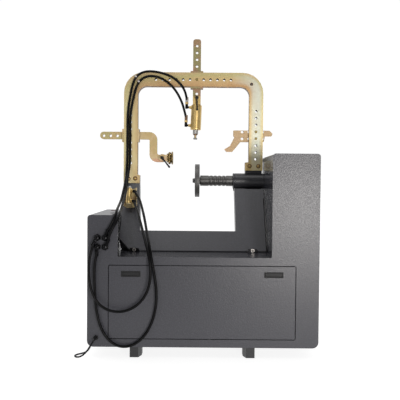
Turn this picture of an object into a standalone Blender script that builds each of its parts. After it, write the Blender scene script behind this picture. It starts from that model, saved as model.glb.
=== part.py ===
"""Hydraulic wheel rim straightening machine, modelled in metres with +Z up.

Places are given from the cabinet: x from its centre line, y from its service face, z from the floor.
One empty carries everything, so that the origin lies on the floor under the middle of the machine.
"""

import math

import bmesh
import bpy
from mathutils import Matrix, Vector

# Driving dimensions
HOLE_PITCH = 0.040
HOLE_RADIUS = 0.008
PIN_RADIUS = 0.0075
SHEET = 0.0025
GAP = 0.0003
HALF_WIDTH = 0.587
DEPTH = 0.650
BASE_Z = 0.052
SADDLE_Z = 0.510
LEFT_TOP_Z = 0.721
RIGHT_TOP_Z = 1.039
LEFT_WALL_X = -0.469
RIGHT_WALL_X = 0.352
RIGHT_BEND_Z = 1.010
BASE_RADIUS = 0.030
TOP_RADIUS = 0.015
EDGE_RADIUS = 0.004
WALL_BELOW_SADDLE = 0.040
REAR_LEDGE_Y = 0.402
FRONT_REACH = -0.030
NIPPLE_OVERHANG = 0.0017
ARM_END_X = -0.611

# Leaning yoke
YOKE_FOOT_Y = 0.276
YOKE_FOOT_Z = 0.505
YOKE_LEAN = math.atan(0.72)
YOKE_THICKNESS = 0.097
YOKE_WALL = 0.005
YOKE_BOTTOM_Z = 0.460
CHAMFER_X = -0.400
CHAMFER_LOW_Z = 0.508
CHAMFER_HIGH_Z = 0.575
YOKE_LEFT_X = -0.466
YOKE_RIGHT_X = 0.349
LEFT_POST_TIP_X = -0.384
LEFT_POST_ROOT_X = -0.352
RIGHT_POST_INNER_X = 0.182
TROUGH_TOP_Z = 0.618
LEFT_POST_TOP_Z = 0.879
RIGHT_POST_TOP_Z = 0.852

# Arch and tool bars
ARCH_FRONT_Y = 0.572
ARCH_DEPTH = 0.055
ARCH_MID_Y = ARCH_FRONT_Y + ARCH_DEPTH / 2
ARCH_WALL = 0.007
ARCH_LEFT_X = -0.469
ARCH_RIGHT_X = 0.347
LEG_WIDTH = 0.081
BEAM_TOP_Z = 1.531
BEAM_BOTTOM_Z = 1.449
LEFT_FOOT_Z = 0.880
RIGHT_FOOT_Z = 0.960
FOOT_HEIGHT = 0.048
SOLID_FOOT = 0.060
COLLAR_HALF_DEPTH = 0.029
SLIDE_CLEARANCE = 0.0005
BAR_THICKNESS = 0.020
SLOT_WIDTH = 0.022
BEAM_HOLE_Z = 1.489
MAST_X = -0.043
MAST_WIDTH = 0.046
MAST_TOP_Z = 1.728
MAST_BOTTOM_Z = 1.366
LEFT_HOLE_X = -0.4285
ARM_Z = 1.160
ARM_HEIGHT = 0.044
RIGHT_HOLE_X = 0.3065
HOOK_Z = 1.187

# Spindle and rams
SPINDLE_Y = 0.600
SPINDLE_Z = 0.898
FLANGE_RADIUS = 0.097
HOUSING_RADIUS = 0.0455
RAM_TILT = math.radians(2.0)
RAM_PIVOT_X = -0.042
RAM_PIVOT_Z = 1.383
CUP_PIVOT_X = -0.242
CUP_PIVOT_Z = 1.030

# Hoses and mains lead
HOSE_DIAMETER = 0.014
HOSE_SPACING = 0.036
LEAD_DIAMETER = 0.008
GLAND_X = -0.542
GLAND_Z = 0.099
COIL_X = -0.395
COIL_Y = 0.775
COIL_RADIUS = 0.048
COIL_HALF_WIDTH = 0.0125
COIL_HEIGHT = 0.0165


def clear_scene():
    for obj in list(bpy.data.objects):
        bpy.data.objects.remove(obj, do_unlink=True)


def new_collection(name):
    collection = bpy.data.collections.new(name)
    bpy.context.scene.collection.children.link(collection)
    return collection


clear_scene()
PARTS = new_collection("rim_straightener")
CUTTERS = new_collection("cutters")
CUTTERS.hide_render = True


def new_empty(name, location, rotation=(0, 0, 0), parent=None):
    empty = bpy.data.objects.new(name, None)
    PARTS.objects.link(empty)
    empty.location = location
    empty.rotation_euler = rotation
    empty.parent = parent
    return empty


SHIFT = (
    -(ARM_END_X + HALF_WIDTH) / 2,
    -(FRONT_REACH - NIPPLE_OVERHANG + SPINDLE_Y + FLANGE_RADIUS) / 2,
    0,
)
MACHINE = new_empty("machine_origin", SHIFT)
SLOPE = new_empty(
    "yoke_slope",
    (0, YOKE_FOOT_Y, YOKE_FOOT_Z),
    (math.pi / 2 - YOKE_LEAN, 0, 0),
    MACHINE,
)


# Materials


def material(name, colour, roughness, metallic):
    made = bpy.data.materials.new(name)
    made.use_nodes = True
    shader = made.node_tree.nodes["Principled BSDF"]
    shader.inputs["Base Color"].default_value = (*colour, 1)
    shader.inputs["Roughness"].default_value = roughness
    shader.inputs["Metallic"].default_value = metallic
    return made


GREY_PAINT = material("grey_paint", (0.09, 0.09, 0.10), 0.45, 0.0)
DARK_PAINT = material("dark_paint", (0.05, 0.05, 0.06), 0.45, 0.0)
ZINC = material("yellow_zinc", (0.66, 0.52, 0.28), 0.32, 0.85)
BRASS = material("gold_zinc", (0.72, 0.52, 0.18), 0.25, 0.9)
CHROME = material("chrome", (0.80, 0.80, 0.82), 0.08, 1.0)
STEEL = material("dark_steel", (0.12, 0.12, 0.12), 0.38, 0.6)
RUBBER = material("black_rubber", (0.012, 0.012, 0.012), 0.6, 0.0)
PLASTIC = material("black_plastic", (0.02, 0.02, 0.02), 0.4, 0.0)
RED_PLASTIC = material("red_plastic", (0.5, 0.12, 0.10), 0.4, 0.0)


# Shape helpers


def mesh_object(name, bm, parent=None, cutter=False):
    mesh = bpy.data.meshes.new(name)
    bm.to_mesh(mesh)
    bm.free()
    obj = bpy.data.objects.new(name, mesh)
    return placed(obj, parent, cutter)


def placed(obj, parent=None, cutter=False):
    (CUTTERS if cutter else PARTS).objects.link(obj)
    obj.parent = parent or MACHINE
    if cutter:
        obj.hide_render = True
        obj.display_type = "WIRE"
    return obj


def finished(obj, paint, smooth=True):
    obj.data.materials.append(paint)
    if smooth and obj.type == "MESH":
        obj.data.shade_smooth()
        obj.data.set_sharp_from_angle(angle=math.radians(35))
    return obj


def box(name, low, high, parent=None, cutter=False):
    """A box between two opposite corners, with its origin at its centre."""
    low, high = Vector(low), Vector(high)
    bm = bmesh.new()
    bmesh.ops.create_cube(bm, size=1)
    bmesh.ops.scale(bm, vec=high - low, verts=bm.verts)
    obj = mesh_object(name, bm, parent, cutter)
    obj.location = (low + high) / 2
    return obj


def rod(name, start, end, radius, end_radius=None, sides=16, parent=None, cutter=False):
    """A cylinder or cone from one point to another."""
    start, end = Vector(start), Vector(end)
    axis = end - start
    bm = bmesh.new()
    bmesh.ops.create_cone(
        bm,
        cap_ends=True,
        segments=sides,
        radius1=radius,
        radius2=radius if end_radius is None else end_radius,
        depth=axis.length,
    )
    obj = mesh_object(name, bm, parent, cutter)
    obj.location = (start + end) / 2
    obj.rotation_euler = axis.to_track_quat("Z", "X").to_euler()
    return obj


def rounded(corners, steps=4):
    """An outline through (x, z, radius) corners, each rounded by its radius."""
    outline = []
    count = len(corners)
    for index, (x, z, radius) in enumerate(corners):
        corner = Vector((x, z))
        before = Vector(corners[index - 1][:2]) - corner
        after = Vector(corners[(index + 1) % count][:2]) - corner
        if radius <= 0:
            outline.append((x, z))
            continue
        half = before.angle(after) / 2
        before.normalize()
        after.normalize()
        centre = corner + (before + after).normalized() * radius / math.sin(half)
        first = corner + before * radius / math.tan(half) - centre
        last = corner + after * radius / math.tan(half) - centre
        turn = first.angle_signed(last)
        for step in range(steps + 1):
            spoke = Matrix.Rotation(-turn * step / steps, 2) @ first
            outline.append(tuple(centre + spoke))
    return outline


def circle(x, z, radius, sides=12):
    turns = [2 * math.pi * i / sides for i in range(sides)]
    return [(x + radius * math.cos(a), z + radius * math.sin(a)) for a in turns]


def plate(name, outlines, near, far, parent=None, cutter=False, flat=False):
    """A flat plate from near to far along y, or along z if flat; later outlines are holes."""
    curve = bpy.data.curves.new(name, "CURVE")
    curve.dimensions = "2D"
    curve.fill_mode = "BOTH"
    curve.extrude = (far - near) / 2
    for outline in outlines:
        spline = curve.splines.new("POLY")
        spline.points.add(len(outline) - 1)
        spline.use_cyclic_u = True
        for point, (u, v) in zip(spline.points, outline):
            point.co = (u, v, 0, 1)
    source = bpy.data.objects.new(name, curve)
    bpy.context.scene.collection.objects.link(source)
    obj = welded(source, name)
    placed(obj, parent, cutter)
    middle = (near + far) / 2
    obj.location = (0, 0, middle) if flat else (0, middle, 0)
    obj.rotation_euler = (0, 0, 0) if flat else (math.pi / 2, 0, 0)
    return obj


def welded(source, name):
    """A mesh object from a curve, with its caps welded; the curve is removed."""
    bpy.context.view_layer.update()
    graph = bpy.context.evaluated_depsgraph_get()
    mesh = bpy.data.meshes.new_from_object(source.evaluated_get(graph))
    bm = bmesh.new()
    bm.from_mesh(mesh)
    bmesh.ops.remove_doubles(bm, verts=bm.verts, dist=0.00001)
    bmesh.ops.recalc_face_normals(bm, faces=bm.faces)
    bm.to_mesh(mesh)
    bm.free()
    bpy.data.objects.remove(source, do_unlink=True)
    return bpy.data.objects.new(name, mesh)


def turned(name, profile, centre, direction, sides=24, parent=None, cutter=False):
    """A turned solid: (radius, height) points run down the outer side, heights along direction."""
    bm = bmesh.new()
    verts = [bm.verts.new((radius, 0, height)) for radius, height in profile]
    for first, second in zip(verts, verts[1:]):
        bm.edges.new((first, second))
    if profile[0][0] > 0:
        bm.edges.new((verts[-1], verts[0]))
    obj = mesh_object(name, bm, parent, cutter)
    screw = obj.modifiers.new("turn", "SCREW")
    screw.steps = sides
    screw.render_steps = sides
    screw.use_merge_vertices = True
    screw.merge_threshold = 0.00005
    screw.use_smooth_shade = True
    obj.location = centre
    obj.rotation_euler = Vector(direction).to_track_quat("Z", "X").to_euler()
    return obj


def bent_sheet(name, profile, near, far, thickness, inward=True):
    """A sheet along y with an open (x, z) profile, thickened to one side."""
    bm = bmesh.new()
    rows = [[bm.verts.new((x, y, z)) for x, z in profile] for y in (near, far)]
    for i in range(len(profile) - 1):
        bm.faces.new((rows[0][i], rows[0][i + 1], rows[1][i + 1], rows[1][i]))
    obj = mesh_object(name, bm)
    solid = obj.modifiers.new("thickness", "SOLIDIFY")
    solid.thickness = thickness
    solid.offset = -1 if inward else 1
    solid.use_even_offset = True
    return obj


def combine(obj, other, operation):
    modifier = obj.modifiers.new(operation.lower(), "BOOLEAN")
    modifier.operation = operation
    modifier.object = other
    if other.name not in CUTTERS.objects:
        CUTTERS.objects.link(other)
        PARTS.objects.unlink(other)
    other.hide_render = True
    other.display_type = "WIRE"
    return obj


def cut(obj, *cutters):
    for cutter in cutters:
        combine(obj, cutter, "DIFFERENCE")
    return obj


def join(obj, *others):
    for other in others:
        combine(obj, other, "UNION")
    return obj


def smooth_route(points, spacing):
    """Points at an even spacing along a smooth curve through the route's points."""
    knots = [Vector(p) for p in points]
    knots = [2 * knots[0] - knots[1], *knots, 2 * knots[-1] - knots[-2]]
    fine = []
    for a, b, c, d in zip(knots, knots[1:], knots[2:], knots[3:]):
        for step in range(20):
            t = step / 20
            fine.append(
                0.5
                * (
                    2 * b
                    + (c - a) * t
                    + (2 * a - 5 * b + 4 * c - d) * t**2
                    + (3 * b - a - 3 * c + d) * t**3
                )
            )
    fine.append(knots[-2])
    lengths = [0.0]
    for a, b in zip(fine, fine[1:]):
        lengths.append(lengths[-1] + (b - a).length)
    count = max(2, round(lengths[-1] / spacing))
    route = []
    index = 0
    for step in range(count + 1):
        target = lengths[-1] * step / count
        while index < len(fine) - 2 and lengths[index + 1] < target:
            index += 1
        span = lengths[index + 1] - lengths[index]
        share = 0 if span == 0 else (target - lengths[index]) / span
        route.append(fine[index].lerp(fine[index + 1], min(share, 1)))
    return route


def straight_ended(points, spacing):
    """A smooth route whose first and last stretches stay straight, square to what they leave."""
    return [Vector(points[0]), *smooth_route(points[1:-1], spacing), Vector(points[-1])]


def tube(name, route, radius, parent=None, resolution=2):
    curve = bpy.data.curves.new(name, "CURVE")
    curve.dimensions = "3D"
    curve.bevel_depth = radius
    curve.bevel_resolution = resolution
    curve.use_fill_caps = True
    spline = curve.splines.new("POLY")
    spline.points.add(len(route) - 1)
    for point, place in zip(spline.points, route):
        point.co = (*place, 1)
    return placed(bpy.data.objects.new(name, curve), parent)


# Cabinet


def door_corners(margin):
    low_x, high_x, low_z, high_z = -0.478, 0.467, 0.096, 0.466
    radius = EDGE_RADIUS + margin
    return rounded(
        [
            (low_x - margin, low_z - margin, radius),
            (high_x + margin, low_z - margin, radius),
            (high_x + margin, high_z + margin, radius),
            (low_x - margin, high_z + margin, radius),
        ],
        2,
    )


def cabinet_outline(left_inner_x, right_inner_x):
    return rounded(
        [
            (-HALF_WIDTH, BASE_Z, BASE_RADIUS),
            (HALF_WIDTH, BASE_Z, BASE_RADIUS),
            (HALF_WIDTH, RIGHT_TOP_Z, TOP_RADIUS),
            (right_inner_x, RIGHT_TOP_Z, TOP_RADIUS),
            (right_inner_x, SADDLE_Z, EDGE_RADIUS),
            (left_inner_x, SADDLE_Z, EDGE_RADIUS),
            (left_inner_x, LEFT_TOP_Z, 0.8 * TOP_RADIUS),
            (-HALF_WIDTH, LEFT_TOP_Z, TOP_RADIUS),
        ]
    )


OUTLET_X = (-0.536, -0.496)
OUTLET_Z = (0.607, 0.560)
OUTLET_RADIUS = 0.011
OUTLETS = [(x, z) for x in OUTLET_X for z in OUTLET_Z]
NIPPLE_RADIUS = 0.007
GLAND_HOLE_RADIUS = 0.0075
FRONT_LEFT_INNER_X = -0.434
FRONT_RIGHT_INNER_X = 0.346
DOOR_GAP = 0.0035


def front_cover():
    holes = [circle(x, z, OUTLET_RADIUS + 0.001) for x, z in OUTLETS]
    holes.append(circle(GLAND_X, GLAND_Z, GLAND_HOLE_RADIUS))
    outline = cabinet_outline(FRONT_LEFT_INNER_X, FRONT_RIGHT_INNER_X)
    outlines = [outline, door_corners(DOOR_GAP), *holes]
    return finished(plate("front_cover", outlines, 0, SHEET), GREY_PAINT)


def rear_cover():
    cover = plate("rear_cover", [cabinet_outline(LEFT_WALL_X, RIGHT_WALL_X)], DEPTH - SHEET, DEPTH)
    ledge = box(
        "rear_ledge",
        (LEFT_WALL_X + 0.001, REAR_LEDGE_Y, SADDLE_Z - SHEET),
        (RIGHT_WALL_X - 0.001, DEPTH - SHEET / 2, SADDLE_Z - 0.0001),
    )
    return finished(join(cover, ledge), GREY_PAINT)


SKIN_NEAR = SHEET + GAP
SKIN_FAR = DEPTH - SHEET - GAP


def arc_points(centre_x, centre_z, radius, start, end, steps=4):
    angles = [math.radians(start + (end - start) * i / steps) for i in range(steps + 1)]
    return [(centre_x + radius * math.cos(a), centre_z + radius * math.sin(a)) for a in angles]


def base_pan():
    middle_x, middle_z = HALF_WIDTH - BASE_RADIUS, BASE_Z + BASE_RADIUS
    left = arc_points(-middle_x, middle_z, BASE_RADIUS, 180, 270)
    right = arc_points(middle_x, middle_z, BASE_RADIUS, 270, 360)
    pan = bent_sheet("base_pan", left + right, SKIN_NEAR, SKIN_FAR, SHEET, inward=False)
    return finished(pan, GREY_PAINT)


BUTTONS = {"stop_button": (-0.518, 0.504), "start_button": (-0.487, 0.204)}
BUTTON_RADIUS = 0.0095
PANEL_FOOT_Z = BASE_Z + BASE_RADIUS + 0.0005


def left_side_panel():
    radius = TOP_RADIUS
    corner = arc_points(-HALF_WIDTH + radius, LEFT_TOP_Z - radius, radius, 180, 90)
    profile = [(-HALF_WIDTH, PANEL_FOOT_Z), *corner, (LEFT_WALL_X, LEFT_TOP_Z)]
    panel = bent_sheet("left_side_panel", profile, SKIN_NEAR, SKIN_FAR, SHEET)
    for name, (x, y) in BUTTONS.items():
        hole = rod(
            name + "_hole",
            (x, y, LEFT_TOP_Z - 0.01),
            (x, y, LEFT_TOP_Z + 0.01),
            BUTTON_RADIUS + 0.0005,
            cutter=True,
        )
        cut(panel, hole)
    return finished(panel, GREY_PAINT)


def right_side_panel():
    radius = TOP_RADIUS
    outer = arc_points(HALF_WIDTH - radius, RIGHT_TOP_Z - radius, radius, 0, 90)
    inner = arc_points(RIGHT_WALL_X + radius, RIGHT_TOP_Z - radius, radius, 90, 180)
    profile = [(HALF_WIDTH, PANEL_FOOT_Z), *outer, *inner, (RIGHT_WALL_X, RIGHT_BEND_Z)]
    panel = bent_sheet("right_side_panel", profile, SKIN_NEAR, SKIN_FAR, SHEET, inward=False)
    return finished(panel, GREY_PAINT)


def inner_walls():
    low_z = SADDLE_Z - WALL_BELOW_SADDLE
    left = box(
        "left_inner_wall",
        (LEFT_WALL_X - SHEET, SKIN_NEAR, low_z),
        (LEFT_WALL_X, SKIN_FAR, LEFT_TOP_Z - SHEET - GAP),
    )
    right = box(
        "right_inner_wall",
        (RIGHT_WALL_X, SKIN_NEAR, low_z),
        (RIGHT_WALL_X + SHEET, SKIN_FAR, RIGHT_BEND_Z - GAP),
    )
    passage = rod(
        "housing_passage",
        (RIGHT_WALL_X - 0.02, SPINDLE_Y, SPINDLE_Z),
        (RIGHT_WALL_X + 0.02, SPINDLE_Y, SPINDLE_Z),
        HOUSING_RADIUS + 0.002,
        sides=24,
        cutter=True,
    )
    return finished(left, GREY_PAINT), finished(cut(right, passage), GREY_PAINT)


def front_ledge():
    """The saddle's floor before the yoke, with a tab beside the yoke's cut corner."""
    left, right = LEFT_WALL_X + GAP, RIGHT_WALL_X - GAP
    front_of_yoke, back = YOKE_FOOT_Y - 0.004, REAR_LEDGE_Y - 0.0055
    outline = [
        (left, SKIN_NEAR),
        (right, SKIN_NEAR),
        (right, front_of_yoke),
        (CHAMFER_X - 0.0025, front_of_yoke),
        (left + 0.0087, back),
        (left, back),
    ]
    ledge = plate("front_ledge", [outline], SADDLE_Z - SHEET, SADDLE_Z, flat=True)
    return finished(ledge, GREY_PAINT)


LATCH_X = (-0.367, 0.357)
LATCH_Z = 0.424
LATCH_LENGTH = 0.090
LATCH_HEIGHT = 0.023


def latch_window(x, margin):
    half_length = LATCH_LENGTH / 2 - margin
    half_height = LATCH_HEIGHT / 2 - margin
    return rounded(
        [
            (x - half_length, LATCH_Z - half_height, 0.003),
            (x + half_length, LATCH_Z - half_height, 0.003),
            (x + half_length, LATCH_Z + half_height, 0.003),
            (x - half_length, LATCH_Z + half_height, 0.003),
        ],
        2,
    )


def service_door():
    windows = [latch_window(x, 0) for x in LATCH_X]
    door = plate("service_door", [door_corners(0), *windows], 0, SHEET)
    return finished(door, GREY_PAINT)


def latch_paddles():
    for side, x in zip(("left", "right"), LATCH_X):
        pivot = new_empty(side + "_latch_axis", (x, SHEET / 2, LATCH_Z + 0.009), parent=MACHINE)
        paddle = box(
            side + "_latch_paddle",
            (-LATCH_LENGTH / 2 + 0.002, -0.0025, -LATCH_HEIGHT + 0.0045),
            (LATCH_LENGTH / 2 - 0.002, 0.0025, 0.0010),
            pivot,
        )
        bevel = paddle.modifiers.new("edge", "BEVEL")
        bevel.width = 0.0008
        bevel.segments = 1
        finished(paddle, PLASTIC)


FOOT_X = {"left": -0.370, "right": 0.2205}
FOOT_Y = {"front": 0.0, "rear": 0.545}
FOOT_WIDTH = 0.0435
FOOT_LENGTH = 0.100
FOOT_SLANT_IN = 0.014
FOOT_SLANT_BACK = 0.045


def feet():
    """Four feet, each with an inner side that slants away behind a narrow front face."""
    for end, y in FOOT_Y.items():
        for side, x in FOOT_X.items():
            inward = 1 if side == "left" else -1
            outer = x if side == "left" else x + FOOT_WIDTH
            corner = outer + inward * FOOT_WIDTH
            inner = corner + inward * FOOT_SLANT_IN
            back = y + FOOT_LENGTH
            slant_end = (inner, y + FOOT_SLANT_BACK)
            outline = [(outer, y), (corner, y), slant_end, (inner, back), (outer, back)]
            foot = plate(f"foot_{end}_{side}", [outline], 0, BASE_Z - GAP, flat=True)
            finished(foot, DARK_PAINT, smooth=False)


# Leaning yoke, in the slope's frame: x across, y up the slope, z out of its front


def up_slope(z):
    """The distance up the slope at which its front plane reaches a height."""
    return (z - YOKE_FOOT_Z) / math.cos(YOKE_LEAN)


def yoke_outline(inset, foot, left_top, right_top):
    """Outline of the yoke in its plane; the hollow's outline is inset."""
    return [
        (CHAMFER_X + inset, foot),
        (CHAMFER_X + inset, up_slope(CHAMFER_LOW_Z) + inset),
        (YOKE_LEFT_X + inset, up_slope(CHAMFER_HIGH_Z) + inset),
        (YOKE_LEFT_X + inset, left_top),
        (LEFT_POST_TIP_X - inset, left_top),
        (LEFT_POST_ROOT_X - inset, up_slope(TROUGH_TOP_Z) - inset),
        (RIGHT_POST_INNER_X + inset, up_slope(TROUGH_TOP_Z) - inset),
        (RIGHT_POST_INNER_X + inset, right_top),
        (YOKE_RIGHT_X - inset, right_top),
        (YOKE_RIGHT_X - inset, foot),
    ]


def yoke_frame():
    """A leaning box-section frame, cut level at its foot and at the seats of the arch."""
    foot = -0.12
    top = up_slope(1.02)
    outline = yoke_outline(0, foot, top, top)
    frame = plate("yoke_frame", [outline], -YOKE_THICKNESS, 0, SLOPE, flat=True)
    hollow_tops = up_slope(LEFT_POST_TOP_Z - 0.034), up_slope(RIGHT_POST_TOP_Z - 0.037)
    hollow_outline = yoke_outline(YOKE_WALL, foot - 0.05, *hollow_tops)
    back, front = YOKE_WALL - YOKE_THICKNESS, -YOKE_WALL
    hollow = plate("yoke_hollow", [hollow_outline], back, front, SLOPE, cutter=True, flat=True)
    seat_back = ARCH_FRONT_Y + ARCH_DEPTH + GAP
    tenon_z = LEFT_POST_TOP_Z + FOOT_HEIGHT
    trims = {
        "below_yoke": ((-0.6, 0, 0.2), (0.6, 0.7, YOKE_BOTTOM_Z)),
        "behind_yoke": ((-0.6, DEPTH, 0.2), (0.6, 1.2, 1.5)),
        "left_seat": ((-0.6, 0.4, LEFT_POST_TOP_Z), (-0.2, seat_back, 1.4)),
        "left_trim": ((-0.6, 0.4, tenon_z), (-0.2, 0.9, 1.4)),
        "right_trim": ((0.1, 0.4, RIGHT_POST_TOP_Z), (0.6, 0.9, 1.4)),
    }
    cut(frame, hollow, *[box(name, *ends, cutter=True) for name, ends in trims.items()])
    return finished(frame, DARK_PAINT)


def yoke_edge_trim():
    """A rubber bead that lies on the front of the yoke along its lower edges."""
    radius = 0.0025
    out = radius + GAP
    left_x = YOKE_LEFT_X + 0.0015
    right_x = YOKE_RIGHT_X - 0.0025
    low_z = CHAMFER_LOW_Z + 0.0035
    route = [
        (left_x, up_slope(0.695), out),
        (left_x, up_slope(CHAMFER_HIGH_Z + 0.001), out),
        (CHAMFER_X + 0.001, up_slope(low_z), out),
        (right_x, up_slope(low_z), out),
        (right_x, up_slope(0.800), out),
    ]
    return finished(tube("yoke_edge_trim", route, radius, SLOPE, 1), RUBBER)


def yoke_beam():
    """An open-ended box section under the yoke."""
    low = Vector((-0.450, 0.245, 0.3995))
    high = Vector((0.345, 0.385, YOKE_BOTTOM_Z - GAP))
    inward = Vector((-0.02, YOKE_WALL, YOKE_WALL))
    beam = box("yoke_beam", low, high)
    inside = box("beam_inside", low + inward, high - inward, cutter=True)
    return finished(cut(beam, inside), DARK_PAINT, smooth=False)


def spindle_block():
    """The block on the right post that holds the housing from above and behind."""
    low_x, high_x = 0.247, 0.345
    low_z = RIGHT_POST_TOP_Z + GAP
    tenon_y = ARCH_FRONT_Y + ARCH_DEPTH + GAP
    tenon_z = RIGHT_FOOT_Z + FOOT_HEIGHT
    cap_front = SPINDLE_Y - 0.010
    cap = box(
        "spindle_block",
        (low_x, cap_front, SPINDLE_Z),
        (high_x, DEPTH - 0.001, RIGHT_FOOT_Z - GAP),
    )
    back = box(
        "block_back", (low_x + 0.0005, tenon_y, low_z), (high_x - 0.0005, DEPTH, tenon_z)
    )
    bore = rod(
        "block_bore",
        (low_x - 0.05, SPINDLE_Y, SPINDLE_Z),
        (high_x + 0.05, SPINDLE_Y, SPINDLE_Z),
        HOUSING_RADIUS + 0.0006,
        sides=32,
        cutter=True,
    )
    return finished(cut(join(cap, back), bore), DARK_PAINT)


# Arch


def arch_outline(inset):
    """Outline of the arch; the hollow's outline is inset and stops above the solid feet."""
    left_out, right_out = ARCH_LEFT_X + inset, ARCH_RIGHT_X - inset
    left_in = ARCH_LEFT_X + LEG_WIDTH - inset
    right_in = ARCH_RIGHT_X - LEG_WIDTH + inset
    top, under = BEAM_TOP_Z - inset, BEAM_BOTTOM_Z + inset
    outer_radius, inner_radius = 0.120 - inset, 0.053 + inset
    left_step, right_step = 0.0135, 0.021
    if inset:
        left_low, right_low = LEFT_FOOT_Z + SOLID_FOOT, RIGHT_FOOT_Z + SOLID_FOOT
        left_foot = [(left_in, left_low, 0), (left_out, left_low, 0)]
        right_foot = [(right_out, right_low, 0), (right_in, right_low, 0)]
    else:
        left_foot = [
            (left_in, LEFT_FOOT_Z + FOOT_HEIGHT + 0.003, 0),
            (left_in + left_step, LEFT_FOOT_Z + FOOT_HEIGHT - 0.002, 0),
            (left_in + left_step, LEFT_FOOT_Z, 0),
            (left_out, LEFT_FOOT_Z, 0),
        ]
        right_foot = [
            (right_out, RIGHT_FOOT_Z, 0),
            (right_in - right_step, RIGHT_FOOT_Z, 0),
            (right_in - right_step, RIGHT_FOOT_Z + FOOT_HEIGHT - 0.004, 0),
            (right_in - right_step + 0.007, RIGHT_FOOT_Z + FOOT_HEIGHT, 0),
            (right_in, RIGHT_FOOT_Z + FOOT_HEIGHT, 0),
        ]
    return rounded(
        [
            (left_out, top, outer_radius),
            (right_out, top, outer_radius),
            *right_foot,
            (right_in, under, inner_radius),
            (left_in, under, inner_radius),
            *left_foot,
        ],
        6,
    )


def arch_holes():
    beam = [(MAST_X + HOLE_PITCH * i, BEAM_HOLE_Z) for i in range(-6, 6)]
    left = [(LEFT_HOLE_X, ARM_Z - 0.002 + HOLE_PITCH * i) for i in range(-4, 4)]
    right = [(RIGHT_HOLE_X, HOOK_Z + HOLE_PITCH * i) for i in range(-4, 4)]
    return beam + left + right


def arch_frame():
    near, far = ARCH_FRONT_Y, ARCH_FRONT_Y + ARCH_DEPTH
    holes = [circle(x, z, HOLE_RADIUS) for x, z in arch_holes()]
    arch = plate("arch_frame", [arch_outline(0), *holes], near, far)
    hollow = plate(
        "arch_hollow", [arch_outline(ARCH_WALL)], near + ARCH_WALL, far - ARCH_WALL, cutter=True
    )
    low_y, high_y = ARCH_MID_Y - SLOT_WIDTH / 2, ARCH_MID_Y + SLOT_WIDTH / 2
    beam_low, beam_high = BEAM_BOTTOM_Z - 0.02, BEAM_TOP_Z + 0.029
    slots = {
        "beam_slot": ((-0.313, low_y, beam_low), (0.187, high_y, beam_high)),
        "left_slot": ((-0.50, low_y, 0.966), (-0.36, high_y, 1.310)),
        "right_slot": ((0.24, low_y, 1.024), (0.38, high_y, 1.340)),
    }
    cut(arch, hollow, *[box(name, *ends, cutter=True) for name, ends in slots.items()])
    return finished(arch, ZINC)


def pull_pin(name, x, z):
    """A locating pin, flush in front, with a round knob behind the arch."""
    back = ARCH_FRONT_Y + ARCH_DEPTH
    tip, knob_start, knob_end = ARCH_FRONT_Y, back + 0.002, back + 0.019
    profile = [
        (0, knob_end),
        (0.010, knob_end),
        (0.012, knob_end - 0.003),
        (0.012, knob_start + 0.003),
        (PIN_RADIUS, knob_start),
        (PIN_RADIUS, tip + 0.001),
        (PIN_RADIUS - 0.001, tip),
        (0, tip),
    ]
    return finished(turned(name, profile, (x, 0, z), (0, 1, 0), 12), BRASS)


def collar(name, low, high, opening_low, opening_high):
    ring = box(name, low, high)
    opening = box(name + "_opening", opening_low, opening_high, cutter=True)
    return finished(cut(ring, opening), ZINC, smooth=False)


def mast():
    half = MAST_WIDTH / 2
    outline = rounded(
        [
            (MAST_X - half, MAST_BOTTOM_Z, 0.002),
            (MAST_X + half, MAST_BOTTOM_Z, 0.002),
            (MAST_X + half, MAST_TOP_Z, 0.014),
            (MAST_X - half, MAST_TOP_Z, 0.014),
        ]
    )
    levels = [BEAM_HOLE_Z + HOLE_PITCH * i for i in range(-2, 6)]
    holes = [circle(MAST_X, z, HOLE_RADIUS) for z in levels]
    low_y, high_y = ARCH_MID_Y - BAR_THICKNESS / 2, ARCH_MID_Y + BAR_THICKNESS / 2
    finished(plate("mast_bar", [outline, *holes], low_y, high_y), ZINC)
    reach, clear, depth = 0.037, SLIDE_CLEARANCE, COLLAR_HALF_DEPTH
    for name, low_z, high_z in (
        ("mast_collar_top", BEAM_TOP_Z + GAP, BEAM_TOP_Z + 0.008),
        ("mast_collar_bottom", BEAM_BOTTOM_Z - 0.012, BEAM_BOTTOM_Z - GAP),
    ):
        collar(
            name,
            (MAST_X - reach, ARCH_MID_Y - depth, low_z),
            (MAST_X + reach, ARCH_MID_Y + depth, high_z),
            (MAST_X - half - clear, low_y - clear, low_z - 0.01),
            (MAST_X + half + clear, high_y + clear, high_z + 0.01),
        )
    pull_pin("mast_pin", MAST_X, BEAM_HOLE_Z)


def clamp_lever(name, x, z, hub_back_y, tip_x, tip_z):
    """A clamping lever: a round hub along y with a tapered handle in front."""
    axis = new_empty(name + "_axis", (x, hub_back_y, z), parent=MACHINE)
    hub_length, handle_y = 0.029, -0.022
    hub = rod(name, (0, 0, 0), (0, -hub_length, 0), 0.010, 0.008, 12, axis)
    handle = rod(
        name + "_handle",
        (0, handle_y, 0),
        (tip_x - x, handle_y, tip_z - z),
        0.0050,
        0.0062,
        10,
        axis,
    )
    return finished(join(hub, handle), PLASTIC)


# Main ram, in a frame that hangs from the mast and leans a little

RAM_PORTS = {"upper": -0.055, "lower": -0.161}
RAM_PORT_X = -0.0585
RAM_ELBOW = 0.030


def ram_hose_end(drop):
    """The last two points of a hose on the main ram's elbow, seen from the cabinet."""
    into_cabinet = Matrix.Translation((RAM_PIVOT_X, ARCH_MID_Y, RAM_PIVOT_Z)) @ Matrix.Rotation(
        RAM_TILT, 4, "Y"
    )
    rises = (RAM_ELBOW + 0.014, RAM_ELBOW + GAP)
    return [into_cabinet @ Vector((RAM_PORT_X, 0, drop + rise)) for rise in rises]


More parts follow.
